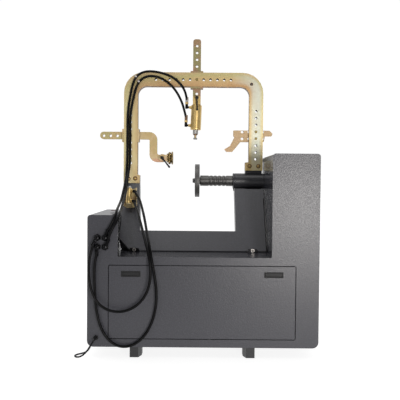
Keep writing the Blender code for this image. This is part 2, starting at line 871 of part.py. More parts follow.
def main_ram():
    frame = new_empty(
        "ram_axis", (RAM_PIVOT_X, ARCH_MID_Y, RAM_PIVOT_Z), (0, RAM_TILT, 0), MACHINE
    )
    barrel_top, barrel_bottom = -0.039, -0.186
    half_clamp = 0.021
    low_y, high_y = ARCH_MID_Y - half_clamp, ARCH_MID_Y + half_clamp
    clamp = box("ram_clamp", (MAST_X - 0.0225, low_y, 1.3455), (MAST_X + 0.0230, high_y, 1.392))
    half_slot = BAR_THICKNESS / 2 + GAP
    slot = box(
        "clamp_slot",
        (MAST_X - 0.06, ARCH_MID_Y - half_slot, MAST_BOTTOM_Z - GAP),
        (MAST_X + 0.06, ARCH_MID_Y + half_slot, 1.40),
        cutter=True,
    )
    finished(cut(clamp, slot), BRASS, smooth=False)
    barrel = turned(
        "ram_barrel",
        [
            (0, barrel_top),
            (0.029, barrel_top),
            (0.031, barrel_top - 0.002),
            (0.031, barrel_bottom + 0.002),
            (0.029, barrel_bottom),
            (0.0163, barrel_bottom),
            (0.0163, barrel_bottom + 0.014),
            (0.0250, barrel_bottom + 0.014),
            (0.0250, barrel_top - 0.010),
            (0, barrel_top - 0.010),
        ],
        (0, 0, 0),
        (0, 0, 1),
        28,
        frame,
    )
    for name, drop in RAM_PORTS.items():
        reach = (RAM_PORT_X, 0, drop)
        boss = rod(name + "_boss", (-0.0285, 0, drop), (-0.045, 0, drop), 0.0095, 0.0072, 12, frame)
        neck = rod(name + "_neck", (-0.040, 0, drop), reach, 0.0055, None, 10, frame)
        elbow = rod(
            name + "_elbow",
            (RAM_PORT_X, 0, drop - 0.0085),
            (RAM_PORT_X, 0, drop + RAM_ELBOW),
            0.0075,
            None,
            12,
            frame,
        )
        join(barrel, boss, neck, elbow)
    finished(barrel, BRASS)
    piston_top = barrel_top - 0.014
    ram_rod = turned(
        "ram_rod",
        [
            (0, piston_top),
            (0.0246, piston_top),
            (0.0246, piston_top - 0.020),
            (0.0160, piston_top - 0.020),
            (0.0160, barrel_bottom - 0.022),
            (0.0125, barrel_bottom - 0.029),
            (0.0070, barrel_bottom - 0.032),
            (0.0070, barrel_bottom - 0.046),
            (0.0125, barrel_bottom - 0.049),
            (0.0125, barrel_bottom - 0.057),
            (0, barrel_bottom - 0.057),
        ],
        (0, 0, 0),
        (0, 0, 1),
        24,
        frame,
    )
    finished(ram_rod, CHROME)
    clamp_lever("ram_lever", RAM_PIVOT_X, RAM_PIVOT_Z, low_y - GAP, RAM_PIVOT_X + 0.003, 1.309)


# Side arm with the thrust cup


def side_arm():
    half = ARM_HEIGHT / 2
    end = half - 0.0005
    eye = CUP_PIVOT_X + end
    outline = rounded(
        [
            (ARM_END_X, ARM_Z - half, end),
            (-0.319, ARM_Z - half, 0.008),
            (-0.319, 1.005, 0.045),
            (eye, 1.005, end),
            (eye, 1.0485, end),
            (-0.274, 1.0485, 0.012),
            (-0.274, ARM_Z + half, 0.045),
            (ARM_END_X, ARM_Z + half, end),
        ],
        5,
    )
    holes = [circle(LEFT_HOLE_X - HOLE_PITCH * i, ARM_Z - 0.002, HOLE_RADIUS) for i in range(5)]
    low_y, high_y = ARCH_MID_Y - BAR_THICKNESS / 2, ARCH_MID_Y + BAR_THICKNESS / 2
    finished(plate("side_arm", [outline, *holes], low_y, high_y), ZINC)
    reach, clear, depth = 0.038, SLIDE_CLEARANCE, COLLAR_HALF_DEPTH
    right_face = ARCH_LEFT_X + LEG_WIDTH
    for name, low_x, high_x in (
        ("arm_collar_outer", ARCH_LEFT_X - 0.010, ARCH_LEFT_X - GAP),
        ("arm_collar_inner", right_face + GAP, right_face + 0.009),
    ):
        collar(
            name,
            (low_x, ARCH_MID_Y - depth, ARM_Z - reach),
            (high_x, ARCH_MID_Y + depth, ARM_Z + reach),
            (low_x - 0.01, low_y - clear, ARM_Z - half - clear),
            (high_x + 0.01, high_y + clear, ARM_Z + half + clear),
        )
    pull_pin("arm_pin", LEFT_HOLE_X, ARM_Z - 0.002)


def cup_head():
    """The lug that swivels on the arm's eye, with the stem that carries the cup."""
    axis = new_empty("cup_head_axis", (CUP_PIVOT_X, ARCH_MID_Y, CUP_PIVOT_Z), parent=MACHINE)
    face = -BAR_THICKNESS / 2 - 0.0007
    thickness, half = 0.014, 0.019
    lug = rod("cup_head", (0, face - thickness, 0), (0, face, 0), 0.0225, None, 20, axis)
    web = box("cup_web", (0.004, face - thickness, -half), (0.0310, face - 0.001, half), axis)
    back = box("cup_back", (0.0225, face - 0.010, -half), (0.0305, 0.018, half), axis)
    stem = rod("cup_stem", (0.026, 0, 0), (0.055, 0, 0), 0.008, None, 12, axis)
    finished(join(lug, web, back, stem), ZINC)
    cup = turned(
        "thrust_cup",
        [
            (0.0085, 0.0620),
            (0.0200, 0.0620),
            (0.0200, 0.0500),
            (0.0320, 0.0500),
            (0.0320, 0.0620),
            (0.0380, 0.0600),
            (0.0380, 0.0420),
            (0.0340, 0.0345),
            (0.0160, 0.0325),
            (0.0085, 0.0325),
        ],
        (0, 0, 0),
        (1, 0, 0),
        24,
        axis,
    )
    finished(cup, BRASS)
    clamp_lever(
        "arm_lever",
        CUP_PIVOT_X,
        CUP_PIVOT_Z,
        ARCH_MID_Y + face - thickness - GAP,
        CUP_PIVOT_X + 0.045,
        CUP_PIVOT_Z - 0.056,
    )


def hook_plate():
    outline = rounded(
        [
            (0.174, 1.196, 0.003),
            (0.174, 1.164, 0),
            (0.180, 1.154, 0),
            (0.155, 1.104, 0.004),
            (0.121, 1.084, 0.002),
            (0.134, 1.069, 0.003),
            (0.169, 1.069, 0.004),
            (0.2165, 1.127, 0.004),
            (0.355, 1.129, 0.003),
            (0.361, 1.162, 0),
            (0.400, 1.162, 0.005),
            (0.406, 1.1785, 0.003),
            (0.388, 1.196, 0),
        ],
        2,
    )
    levels = (HOOK_Z - HOLE_PITCH, HOOK_Z)
    holes = [
        circle(RIGHT_HOLE_X + HOLE_PITCH * i, z, HOLE_RADIUS)
        for i in range(-2, 2)
        for z in levels
    ]
    thickness = 0.012
    low_y = ARCH_MID_Y - thickness / 2
    finished(plate("hook_plate", [outline, *holes], low_y, low_y + thickness), ZINC)
    pull_pin("hook_pin_upper", RIGHT_HOLE_X, HOOK_Z)
    pull_pin("hook_pin_lower", RIGHT_HOLE_X, HOOK_Z - HOLE_PITCH)


# Spindle and its drive

SHAFT_RADIUS = 0.022
SLEEVE_START = -0.0185
HOUSING_START = 0.1735


def spindle():
    axis = new_empty("spindle_axis", (0, SPINDLE_Y, SPINDLE_Z), parent=MACHINE)
    along = (1, 0, 0)
    face, back, nose = -0.0500, -0.0220, -0.0580
    neck, far_end = 0.0150, 0.490
    shaft = turned(
        "spindle_shaft",
        [
            (0, far_end),
            (SHAFT_RADIUS, far_end),
            (SHAFT_RADIUS, back + 0.0005),
            (neck, back + 0.0005),
            (neck, face),
            (neck - 0.0015, nose),
            (0, nose),
        ],
        (0, 0, 0),
        along,
        20,
        axis,
    )
    finished(shaft, STEEL)
    flange = turned(
        "wheel_flange",
        [
            (FLANGE_RADIUS, back - 0.001),
            (FLANGE_RADIUS, face + 0.004),
            (FLANGE_RADIUS - 0.003, face),
            (neck + GAP, face),
            (neck + GAP, back),
            (FLANGE_RADIUS - 0.001, back),
        ],
        (0, 0, 0),
        along,
        36,
        axis,
    )
    finished(flange, STEEL)
    finished(ribbed_sleeve(axis, along), STEEL)


def ribbed_sleeve(axis, along):
    """A dark sleeve on the shaft with plain ends and four rounded ribs between them."""
    outer, groove, inner = 0.031, 0.027, SHAFT_RADIUS + GAP
    end = HOUSING_START - GAP
    ribs = [(0.036, 0.057), (0.061, 0.080), (0.086, 0.105), (0.111, 0.129)]
    profile = [(inner, end), (outer - 0.002, end), (outer, end - 0.002), (outer, 0.136)]
    for low, high in reversed(ribs):
        middle = (low + high) / 2
        profile += [(groove, high + 0.0015), (outer, middle + 0.005), (outer, middle - 0.005)]
    profile += [(groove, 0.0335), (outer, 0.031), (outer, SLEEVE_START + 0.002)]
    profile += [(outer - 0.002, SLEEVE_START), (inner, SLEEVE_START)]
    return turned("ribbed_sleeve", profile, (0, 0, 0), along, 24, axis)


def spindle_housing():
    inner = SHAFT_RADIUS + GAP
    start, end = HOUSING_START, RIGHT_WALL_X + 0.020
    housing = turned(
        "spindle_housing",
        [
            (inner, end),
            (HOUSING_RADIUS, end),
            (HOUSING_RADIUS, start + 0.003),
            (HOUSING_RADIUS - 0.003, start),
            (inner, start),
        ],
        (0, SPINDLE_Y, SPINDLE_Z),
        (1, 0, 0),
        32,
    )
    return finished(housing, DARK_PAINT)


def gearmotor():
    """A worm gear housing round the shaft, with its motor hanging below it."""
    low, high = Vector((0.380, 0.535, 0.815)), Vector((0.475, 0.642, 0.980))
    motor_x, motor_y, motor_radius = (low.x + high.x) / 2, 0.586, 0.055
    gear = box("gearmotor", low, high)
    motor_top, motor_bottom = (motor_x, motor_y, low.z + 0.015), (motor_x, motor_y, 0.600)
    motor = rod("motor_body", motor_top, motor_bottom, motor_radius, None, 20)
    bore = rod(
        "gear_bore",
        (low.x - 0.02, SPINDLE_Y, SPINDLE_Z),
        (high.x + 0.02, SPINDLE_Y, SPINDLE_Z),
        SHAFT_RADIUS + 0.0006,
        sides=20,
        cutter=True,
    )
    return finished(cut(join(gear, motor), bore), STEEL)


# Hydraulics and electrics inside the cabinet


CABINET_FLOOR_Z = BASE_Z + SHEET + GAP


def oil_tank():
    """A sheet tank with its filler hole open."""
    low = Vector((-0.300, 0.070, CABINET_FLOOR_Z))
    high = Vector((0.050, 0.320, 0.260))
    wall = Vector((1, 1, 1)) * 0.003
    tank = box("oil_tank", low, high)
    inside = box("tank_inside", low + wall, high - wall, cutter=True)
    filler = rod("tank_filler", (-0.250, 0.280, 0.20), (-0.250, 0.280, 0.30), 0.02, cutter=True)
    return finished(cut(tank, inside, filler), DARK_PAINT, smooth=False)


def pump_motor():
    """A motor lying on the tank, with the pump as a narrower end."""
    centre_y, centre_z, radius = 0.150, 0.3255, 0.065
    right, left, pump_radius, pump_end = -0.020, -0.230, 0.045, -0.275
    motor = turned(
        "pump_motor",
        [
            (0, right),
            (radius - 0.010, right),
            (radius, right - 0.010),
            (radius, left),
            (pump_radius, left - 0.002),
            (pump_radius, pump_end),
            (0, pump_end),
        ],
        (0, centre_y, centre_z),
        (1, 0, 0),
        20,
    )
    return finished(motor, STEEL)


def outlet_nipple(outlet, way, length=0.024):
    """The middle and the tip of the nipple that turns an outlet's hose sideways."""
    middle = Vector((outlet[0], FRONT_REACH + OUTLET_RADIUS, outlet[1]))
    return middle, middle + Vector(way).normalized() * length


def hydraulic_manifold():
    """The valve block behind the left tower's face, with four elbows through the sheet."""
    block = box("hydraulic_manifold", (-0.558, 0.012, 0.535), (-0.475, 0.072, 0.632))
    for name, hose in HOSES.items():
        x, z = hose["outlet"]
        stub = rod(name + "_stub", (x, 0.020, z), (x, FRONT_REACH, z), OUTLET_RADIUS, None, 12)
        nipple = rod(name + "_nipple", *outlet_nipple((x, z), hose["leaves"]), NIPPLE_RADIUS, None, 10)
        join(block, stub, nipple)
    return finished(block, STEEL)


def electrical_box():
    case = box("electrical_box", (0.130, 0.050, CABINET_FLOOR_Z), (0.330, 0.180, 0.400))
    return finished(case, GREY_PAINT, smooth=False)


def push_buttons():
    top, low = 0.0022, -0.0200
    for name, (x, y) in BUTTONS.items():
        profile = [
            (0, top),
            (BUTTON_RADIUS - 0.001, top),
            (BUTTON_RADIUS, top - 0.001),
            (BUTTON_RADIUS, low),
            (0, low),
        ]
        button = turned(name, profile, (x, y, LEFT_TOP_Z), (0, 0, 1), 16)
        finished(button, RED_PLASTIC if name == "stop_button" else PLASTIC)


# Holder with the portable ram, on the left post's leaning face

HOLDER_X = -0.4135
HOLDER_LOW = 0.285
HOLDER_HIGH = 0.410
PORTABLE_X = -0.4235
PORTABLE_OUT = 0.038
PORTABLE_LOW = 0.290
PORTABLE_HIGH = 0.394
PORTABLE_PORTS = {"lower": 0.320, "upper": 0.387}
PORT_WAY = Vector((0.80, -0.50, 0.33)).normalized()
PORT_REACH = 0.027


def ram_holder():
    """A sheet cradle, wider at its foot, with a step that the portable ram stands on."""
    out, rim = 0.0445, 0.030
    low_radius, high_radius = 0.0415, 0.033
    foot, head = (HOLDER_X, HOLDER_LOW, out), (HOLDER_X, HOLDER_HIGH, out)
    holder = rod("ram_holder", foot, head, low_radius, high_radius, 24, SLOPE)
    inside = rod(
        "holder_inside",
        (HOLDER_X, HOLDER_LOW - 0.001, out),
        (HOLDER_X, HOLDER_HIGH + 0.001, out),
        low_radius - SHEET,
        high_radius - SHEET,
        24,
        SLOPE,
        cutter=True,
    )
    front = box(
        "holder_front",
        (HOLDER_X - 0.06, HOLDER_LOW - 0.01, rim),
        (HOLDER_X + 0.06, HOLDER_HIGH + 0.01, 0.12),
        SLOPE,
        cutter=True,
    )
    step = box(
        "holder_step",
        (HOLDER_X - 0.022, HOLDER_LOW + 0.0005, 0.0045),
        (HOLDER_X + 0.008, HOLDER_LOW + 0.0035, 0.050),
        SLOPE,
    )
    middle = (HOLDER_LOW + HOLDER_HIGH) / 2
    pad = box(
        "holder_pad",
        (HOLDER_X - 0.015, middle - 0.015, GAP),
        (HOLDER_X + 0.015, middle + 0.015, 0.0088),
        SLOPE,
    )
    return finished(join(cut(holder, inside, front), step, pad), ZINC)


def portable_port(height, along):
    """A point along a port of the portable ram, in the slope's frame."""
    return Vector((PORTABLE_X, height, PORTABLE_OUT)) + PORT_WAY * along


def portable_ram():
    low, high = PORTABLE_LOW, PORTABLE_HIGH
    frame = new_empty("portable_axis", (PORTABLE_X, 0, PORTABLE_OUT), (-math.pi / 2, 0, 0), SLOPE)
    barrel = turned(
        "portable_barrel",
        [
            (0, high - 0.015),
            (0.0095, high - 0.015),
            (0.0095, high),
            (0.0140, high),
            (0.0155, high - 0.002),
            (0.0155, low + 0.005),
            (0.0110, low),
            (0, low),
        ],
        (0, 0, 0),
        (0, 0, 1),
        20,
        frame,
    )
    for name, height in PORTABLE_PORTS.items():
        start, tip = portable_port(height, 0.0142), portable_port(height, PORT_REACH)
        boss = rod("portable_port_" + name, start, tip, 0.0070, None, 10, SLOPE)
        join(barrel, boss)
    bore = rod(
        "portable_bore", (0, 0, low + 0.010), (0, 0, high - 0.010), 0.0125, None, 20, frame, cutter=True
    )
    finished(cut(barrel, bore), BRASS)
    piston = low + 0.014
    tip = high + 0.014
    rod_piece = turned(
        "portable_rod",
        [
            (0, tip),
            (0.0110, tip),
            (0.0110, high + 0.004),
            (0.0090, high + 0.004),
            (0.0090, piston + 0.010),
            (0.0122, piston + 0.010),
            (0.0122, piston),
            (0, piston),
        ],
        (0, 0, 0),
        (0, 0, 1),
        18,
        frame,
    )
    finished(rod_piece, CHROME)


def portable_hose_end(height):
    """The last two points of a hose on a port of the portable ram, seen from the cabinet."""
    into_cabinet = Matrix.Translation((0, YOKE_FOOT_Y, YOKE_FOOT_Z)) @ Matrix.Rotation(
        math.pi / 2 - YOKE_LEAN, 4, "X"
    )
    reaches = (PORT_REACH + 0.014, PORT_REACH + GAP)
    return [into_cabinet @ portable_port(height, along) for along in reaches]


# Hoses: each runs from an outlet on the left tower to a port on a ram

HOSES = {
    "hose_ram_upper": {
        "outlet": (-0.496, 0.607),
        "leaves": (0.35, -0.08, 0.93),
        "ends": ram_hose_end(RAM_PORTS["upper"]),
        "route": [
            (-0.475, -0.022, 0.655),
            (-0.456, -0.019, 0.688),
            (-0.441, -0.009, 0.729),
            (-0.441, 0.014, 0.744),
            (-0.442, 0.055, 0.751),
            (-0.450, 0.150, 0.757),
            (-0.453, 0.300, 0.785),
            (-0.452, 0.430, 0.845),
            (-0.449, 0.520, 0.910),
            (-0.447, 0.555, 0.990),
            (-0.446, 0.561, 1.100),
            (-0.446, 0.561, 1.200),
            (-0.444, 0.561, 1.300),
            (-0.432, 0.561, 1.385),
            (-0.415, 0.560, 1.465),
            (-0.393, 0.558, 1.510),
            (-0.350, 0.554, 1.531),
            (-0.300, 0.550, 1.532),
            (-0.240, 0.548, 1.521),
            (-0.185, 0.550, 1.500),
            (-0.140, 0.557, 1.465),
            (-0.110, 0.577, 1.420),
            (-0.102, 0.595, 1.387),
        ],
    },
    "hose_ram_lower": {
        "outlet": (-0.496, 0.560),
        "leaves": (0.45, -0.25, 0.86),
        "ends": ram_hose_end(RAM_PORTS["lower"]),
        "route": [
            (-0.479, -0.034, 0.613),
            (-0.457, -0.034, 0.654),
            (-0.440, -0.026, 0.689),
            (-0.431, -0.016, 0.702),
            (-0.426, 0.002, 0.719),
            (-0.428, 0.050, 0.735),
            (-0.435, 0.150, 0.740),
            (-0.437, 0.300, 0.790),
            (-0.437, 0.425, 0.840),
            (-0.437, 0.485, 0.898),
            (-0.435, 0.520, 0.942),
            (-0.430, 0.557, 0.998),
            (-0.430, 0.561, 1.090),
            (-0.430, 0.561, 1.190),
            (-0.429, 0.561, 1.280),
            (-0.418, 0.561, 1.350),
            (-0.400, 0.561, 1.430),
            (-0.380, 0.559, 1.477),
            (-0.345, 0.554, 1.500),
            (-0.300, 0.549, 1.507),
            (-0.250, 0.548, 1.493),
            (-0.205, 0.551, 1.465),
            (-0.160, 0.560, 1.415),
            (-0.125, 0.580, 1.345),
            (-0.109, 0.597, 1.281),
        ],
    },
    "hose_portable_lower": {
        "outlet": (-0.536, 0.607),
        "leaves": (-0.50, -0.20, -0.83),
        "ends": portable_hose_end(PORTABLE_PORTS["lower"]),
        "route": [
            (-0.560, -0.036, 0.547),
            (-0.570, -0.042, 0.505),
            (-0.573, -0.045, 0.440),
            (-0.561, -0.045, 0.350),
            (-0.525, -0.045, 0.280),
            (-0.475, -0.045, 0.247),
            (-0.420, -0.045, 0.238),
            (-0.360, -0.045, 0.253),
            (-0.305, -0.045, 0.297),
            (-0.273, -0.045, 0.360),
            (-0.263, -0.043, 0.430),
            (-0.269, -0.037, 0.495),
            (-0.283, -0.012, 0.552),
            (-0.300, 0.045, 0.596),
            (-0.334, 0.185, 0.671),
            (-0.366, 0.320, 0.734),
            (-0.384, 0.380, 0.760),
        ],
    },
    "hose_portable_upper": {
        "outlet": (-0.536, 0.560),
        "leaves": (0, -0.12, -0.99),
        "ends": portable_hose_end(PORTABLE_PORTS["upper"]),
        "route": [
            (-0.543, -0.024, 0.512),
            (-0.548, -0.022, 0.440),
            (-0.545, -0.021, 0.340),
            (-0.535, -0.021, 0.230),
            (-0.505, -0.021, 0.135),
            (-0.455, -0.021, 0.074),
            (-0.400, -0.021, 0.056),
            (-0.345, -0.021, 0.069),
            (-0.295, -0.021, 0.112),
            (-0.256, -0.021, 0.185),
            (-0.237, -0.021, 0.270),
            (-0.236, -0.020, 0.350),
            (-0.248, -0.018, 0.430),
            (-0.262, -0.014, 0.505),
            (-0.274, 0.010, 0.568),
            (-0.289, 0.070, 0.614),
            (-0.319, 0.220, 0.704),
            (-0.355, 0.370, 0.787),
            (-0.376, 0.420, 0.814),
        ],
    },
}

LEAD_ROUTE = [
    (-0.5420, -0.0223, 0.0990),
    (-0.5420, -0.0300, 0.0990),
    (-0.5450, -0.0430, 0.0950),
    (-0.5530, -0.0530, 0.0830),
    (-0.5680, -0.0570, 0.0580),
    (-0.5850, -0.0530, 0.0340),
    (-0.6030, -0.0450, 0.0150),
    (-0.6240, -0.0350, 0.0060),
    (-0.6430, -0.0190, 0.0043),
    (-0.6530, 0.0050, 0.0043),
    (-0.6480, 0.0290, 0.0043),
    (-0.6280, 0.0450, 0.0043),
    (-0.6100, 0.0640, 0.0043),
    (-0.6020, 0.0950, 0.0043),
    (-0.6000, 0.1400, 0.0043),
    (-0.6020, 0.2100, 0.0043),
    (-0.6080, 0.3200, 0.0043),
    (-0.6150, 0.4500, 0.0043),
    (-0.6100, 0.5800, 0.0043),
    (-0.5820, 0.6750, 0.0043),
    (-0.5300, 0.7100, 0.0043),
    (-0.4750, 0.7190, 0.0043),
    (-0.4400, 0.7190, 0.0043),
    (-0.4285, 0.7190, 0.0043),
]


def hoses():
    for name, hose in HOSES.items():
        middle, tip = outlet_nipple(hose["outlet"], hose["leaves"])
        onward = (tip - middle).normalized()
        points = [tip + onward * GAP, tip + onward * 0.010, *hose["route"], *hose["ends"]]
        finished(tube(name, straight_ended(points, HOSE_SPACING), HOSE_DIAMETER / 2), RUBBER)


def cord_gland():
    """A one-piece gland: a nut and dome outside the sheet and a thread through it."""
    gland = turned(
        "cord_gland",
        [
            (0, 0.0220),
            (0.0060, 0.0220),
            (0.0100, 0.0130),
            (0.0120, 0.0115),
            (0.0120, 0.0005),
            (0.0070, 0.0005),
            (0.0070, -0.0120),
            (0, -0.0120),
        ],
        (GLAND_X, 0, GLAND_Z),
        (0, -1, 0),
        12,
    )
    return finished(gland, PLASTIC)


def mains_cord():
    route = straight_ended(LEAD_ROUTE, 2.8 * LEAD_DIAMETER)
    finished(tube("mains_cord", route, LEAD_DIAMETER / 2), RUBBER)
    low, high = GAP, COIL_HEIGHT
    inner, outer = COIL_RADIUS - COIL_HALF_WIDTH, COIL_RADIUS + COIL_HALF_WIDTH
    coil = turned(
        "mains_coil",
        [
            (inner + 0.002, high),
            (outer - 0.002, high),
            (outer, high - 0.002),
            (outer, low + 0.002),
            (outer - 0.002, low),
            (inner + 0.002, low),
            (inner, low + 0.002),
            (inner, high - 0.002),
        ],
        (COIL_X, COIL_Y, 0),
        (0, 0, 1),
        24,
    )
    finished(coil, RUBBER)


def mains_plug():
    """A round two-pin plug on the floor, in line with the coil's outer turn."""
    radius, pin_offset, pin_radius = 0.019, 0.0095, 0.0024
    x, y, z = COIL_X + 0.061, COIL_Y - COIL_RADIUS - LEAD_DIAMETER, radius + GAP
    plug = turned(
        "mains_plug",
        [
            (0, 0.036),
            (radius, 0.036),
            (radius, 0.006),
            (0.012, -0.010),
            (0.006, -0.026),
            (0, -0.026),
        ],
        (x, y, z),
        (1, 0, 0),
        16,
    )
    for index, side in enumerate((-pin_offset, pin_offset)):
        pin = ((x + 0.030, y + side, z), (x + 0.055, y + side, z))
        join(plug, rod(f"plug_pin_{index}", *pin, pin_radius, None, 8))
    return finished(plug, PLASTIC)


def cabinet():
    front_cover()
    rear_cover()
    base_pan()
    left_side_panel()
    right_side_panel()
    inner_walls()
    front_ledge()
    service_door()
    latch_paddles()
    feet()


def yoke():
    yoke_frame()
    yoke_edge_trim()
    yoke_beam()
    spindle_block()


def tools_on_arch():
    arch_frame()
    mast()
    main_ram()
    side_arm()
    cup_head()
    hook_plate()
    ram_holder()
    portable_ram()


def drive():
    spindle()
    spindle_housing()
    gearmotor()
    oil_tank()
    pump_motor()
    hydraulic_manifold()
    electrical_box()
    push_buttons()


def cords():
    hoses()
    cord_gland()
    mains_cord()
    mains_plug()


cabinet()
yoke()
tools_on_arch()
drive()
cords()
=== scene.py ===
"""Looks of the wheel rim straightening machine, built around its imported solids."""

import math

import bmesh
import bpy
from mathutils import Matrix, Vector


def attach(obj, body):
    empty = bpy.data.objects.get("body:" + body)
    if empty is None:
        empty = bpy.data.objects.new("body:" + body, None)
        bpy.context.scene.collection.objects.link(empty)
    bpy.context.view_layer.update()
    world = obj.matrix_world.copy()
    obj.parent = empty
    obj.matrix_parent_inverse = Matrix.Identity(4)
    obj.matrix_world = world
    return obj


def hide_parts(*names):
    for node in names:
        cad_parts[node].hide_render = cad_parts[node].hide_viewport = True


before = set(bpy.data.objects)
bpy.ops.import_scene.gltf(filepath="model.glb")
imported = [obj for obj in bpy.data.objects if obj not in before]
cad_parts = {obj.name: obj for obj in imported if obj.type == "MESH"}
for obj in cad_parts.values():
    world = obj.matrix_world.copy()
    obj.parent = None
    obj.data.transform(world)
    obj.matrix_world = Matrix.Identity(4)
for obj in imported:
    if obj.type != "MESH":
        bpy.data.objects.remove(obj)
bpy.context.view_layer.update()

# The cabinet's own coordinates (middle of its width, service face, floor) in the row frame
SHIFT = Vector((0.012, -0.33265, 0.0))
ARCH_FRONT_Y = 0.572
ARCH_DEPTH = 0.055
ARCH_MID_Y = ARCH_FRONT_Y + ARCH_DEPTH / 2
ARCH_MIDDLE_X = -0.061
ARCH_HALF_SPAN = 0.408
ARCH_TOP_Z = 1.531
ARCH_RADIUS = 0.120
LEG_WIDTH = 0.081
YOKE_FOOT = Vector((0.0, 0.276, 0.505))
YOKE_LEAN = math.atan(0.72)
SPINDLE_Y = 0.600
SPINDLE_Z = 0.898
SPINDLE_BORE = 0.0223
CUP_PIVOT_X = -0.242
CUP_PIVOT_Z = 1.030
BUTTON_FACE_Z = 0.7211
HOSE_DIAMETER = 0.014
LEAD_DIAMETER = 0.008


def at(x, y, z):
    return Vector((x, y, z)) + SHIFT


# Materials

ZINC_METALLIC = 0.62
ZINC_ROUGHNESS = 0.46


def new_material(name, metallic, roughness):
    material = bpy.data.materials.new(name)
    material.use_nodes = True
    tree = material.node_tree
    shader = tree.nodes["Principled BSDF"]
    shader.inputs["Metallic"].default_value = metallic
    shader.inputs["Roughness"].default_value = roughness
    return material, tree, shader


def place_of(tree, stretch=(1, 1, 1)):
    """Coordinates on the object, stretched along its axes."""
    source = tree.nodes.new("ShaderNodeTexCoord")
    mapping = tree.nodes.new("ShaderNodeMapping")
    mapping.inputs["Scale"].default_value = stretch
    tree.links.new(source.outputs["Object"], mapping.inputs["Vector"])
    return mapping.outputs["Vector"]


def noise(tree, place, scale, detail=3.0, distortion=0.0):
    node = tree.nodes.new("ShaderNodeTexNoise")
    node.inputs["Scale"].default_value = scale
    node.inputs["Detail"].default_value = detail
    node.inputs["Distortion"].default_value = distortion
    tree.links.new(place, node.inputs["Vector"])
    return node.outputs["Fac"]


def ramp(tree, value, stops):
    node = tree.nodes.new("ShaderNodeValToRGB")
    elements = node.color_ramp.elements
    while len(elements) < len(stops):
        elements.new(0.5)
    for element, (position, colour) in zip(elements, stops):
        element.position = position
        element.color = (*colour, 1) if len(colour) == 3 else colour
    tree.links.new(value, node.inputs["Fac"])
    return node.outputs["Color"]


def spread(tree, value, low, high, start=0.3, end=0.7):
    node = tree.nodes.new("ShaderNodeMapRange")
    for name, number in (
        ("From Min", start),
        ("From Max", end),
        ("To Min", low),
        ("To Max", high),
    ):
        node.inputs[name].default_value = number
    tree.links.new(value, node.inputs["Value"])
    return node.outputs["Result"]


def maths(tree, operation, first, second):
    node = tree.nodes.new("ShaderNodeMath")
    node.operation = operation
    for socket, source in zip(node.inputs, (first, second)):
        if isinstance(source, (int, float)):
            socket.default_value = source
        else:
            tree.links.new(source, socket)
    return node.outputs["Value"]


def mixed(tree, share, first, second):
    node = tree.nodes.new("ShaderNodeMix")
    node.data_type = "RGBA"
    for socket, source in ((0, share), (6, first), (7, second)):
        if isinstance(source, (int, float)):
            node.inputs[socket].default_value = source
        elif isinstance(source, tuple):
            node.inputs[socket].default_value = (*source, 1)
        else:
            tree.links.new(source, node.inputs[socket])
    return node.outputs[2]


def rounded_normal(tree, radius):
    """A normal that softens sharp edges, as the real sheet's edges are."""
    node = tree.nodes.new("ShaderNodeBevel")
    node.samples = 4
    node.inputs["Radius"].default_value = radius
    return node.outputs["Normal"]


def bumped(tree, height, strength, distance, normal=None):
    node = tree.nodes.new("ShaderNodeBump")
    node.inputs["Strength"].default_value = strength
    node.inputs["Distance"].default_value = distance
    tree.links.new(height, node.inputs["Height"])
    if normal is not None:
        tree.links.new(normal, node.inputs["Normal"])
    return node.outputs["Normal"]


def scaled(colour, factor):
    return tuple(channel * factor for channel in colour)


def paint(name, colour, roughness, edge=0.0015, grain=170.0):
    """Powder coat: orange peel, a painted sparkle of lighter specks in the colour, faint clouding and
    slightly uneven gloss.
    """
    material, tree, shader = new_material(name, 0.0, roughness)
    place = place_of(tree)
    clouds = noise(tree, place, 2.5, 3.0)
    painted_sparkle = noise(tree, place, 150.0, 2.0)
    base = ramp(tree, clouds, [(0.3, scaled(colour, 0.94)), (0.7, scaled(colour, 1.06))])
    # Lighter specks mixed into the colour: a painted sparkle.
    base = mixed(tree, spread(tree, painted_sparkle, 0.0, 0.55, 0.42, 0.74), base, scaled(colour, 1.7))
    tree.links.new(base, shader.inputs["Base Color"])
    gloss = spread(tree, noise(tree, place, 320.0, 3.0), roughness - 0.04, roughness + 0.05)
    tree.links.new(gloss, shader.inputs["Roughness"])
    peel = noise(tree, place, grain, 2.0)
    normal = bumped(tree, peel, 0.35, 0.0016, rounded_normal(tree, edge))
    tree.links.new(normal, shader.inputs["Normal"])
    return material


def cut_edge_share(tree):
    """0 on a plate's flat faces, which look along y, and 1 on its cut edges and hole walls."""
    surface = tree.nodes.new("ShaderNodeNewGeometry")
    split = tree.nodes.new("ShaderNodeSeparateXYZ")
    tree.links.new(surface.outputs["True Normal"], split.inputs["Vector"])
    return spread(tree, maths(tree, "ABSOLUTE", split.outputs["Y"], 0), 1.0, 0.0, 0.30, 0.85)


def zinc_surface(tree, shader, base, dull):
    """Finishes a zinc material: its colour, where it is dull, its drawn streaks and grain."""
    tree.links.new(base, shader.inputs["Base Color"])
    tree.links.new(spread(tree, dull, ZINC_METALLIC, 0.0, 0.0, 1.0), shader.inputs["Metallic"])
    streaks = noise(tree, place_of(tree, (60, 60, 900)), 1.0, 3.0)
    gloss = spread(tree, streaks, ZINC_ROUGHNESS - 0.06, ZINC_ROUGHNESS + 0.10)
    tree.links.new(gloss, shader.inputs["Roughness"])
    fine = noise(tree, place_of(tree), 600.0, 3.0)
    normal = bumped(tree, fine, 0.10, 0.0004, rounded_normal(tree, 0.0008))
    tree.links.new(normal, shader.inputs["Normal"])


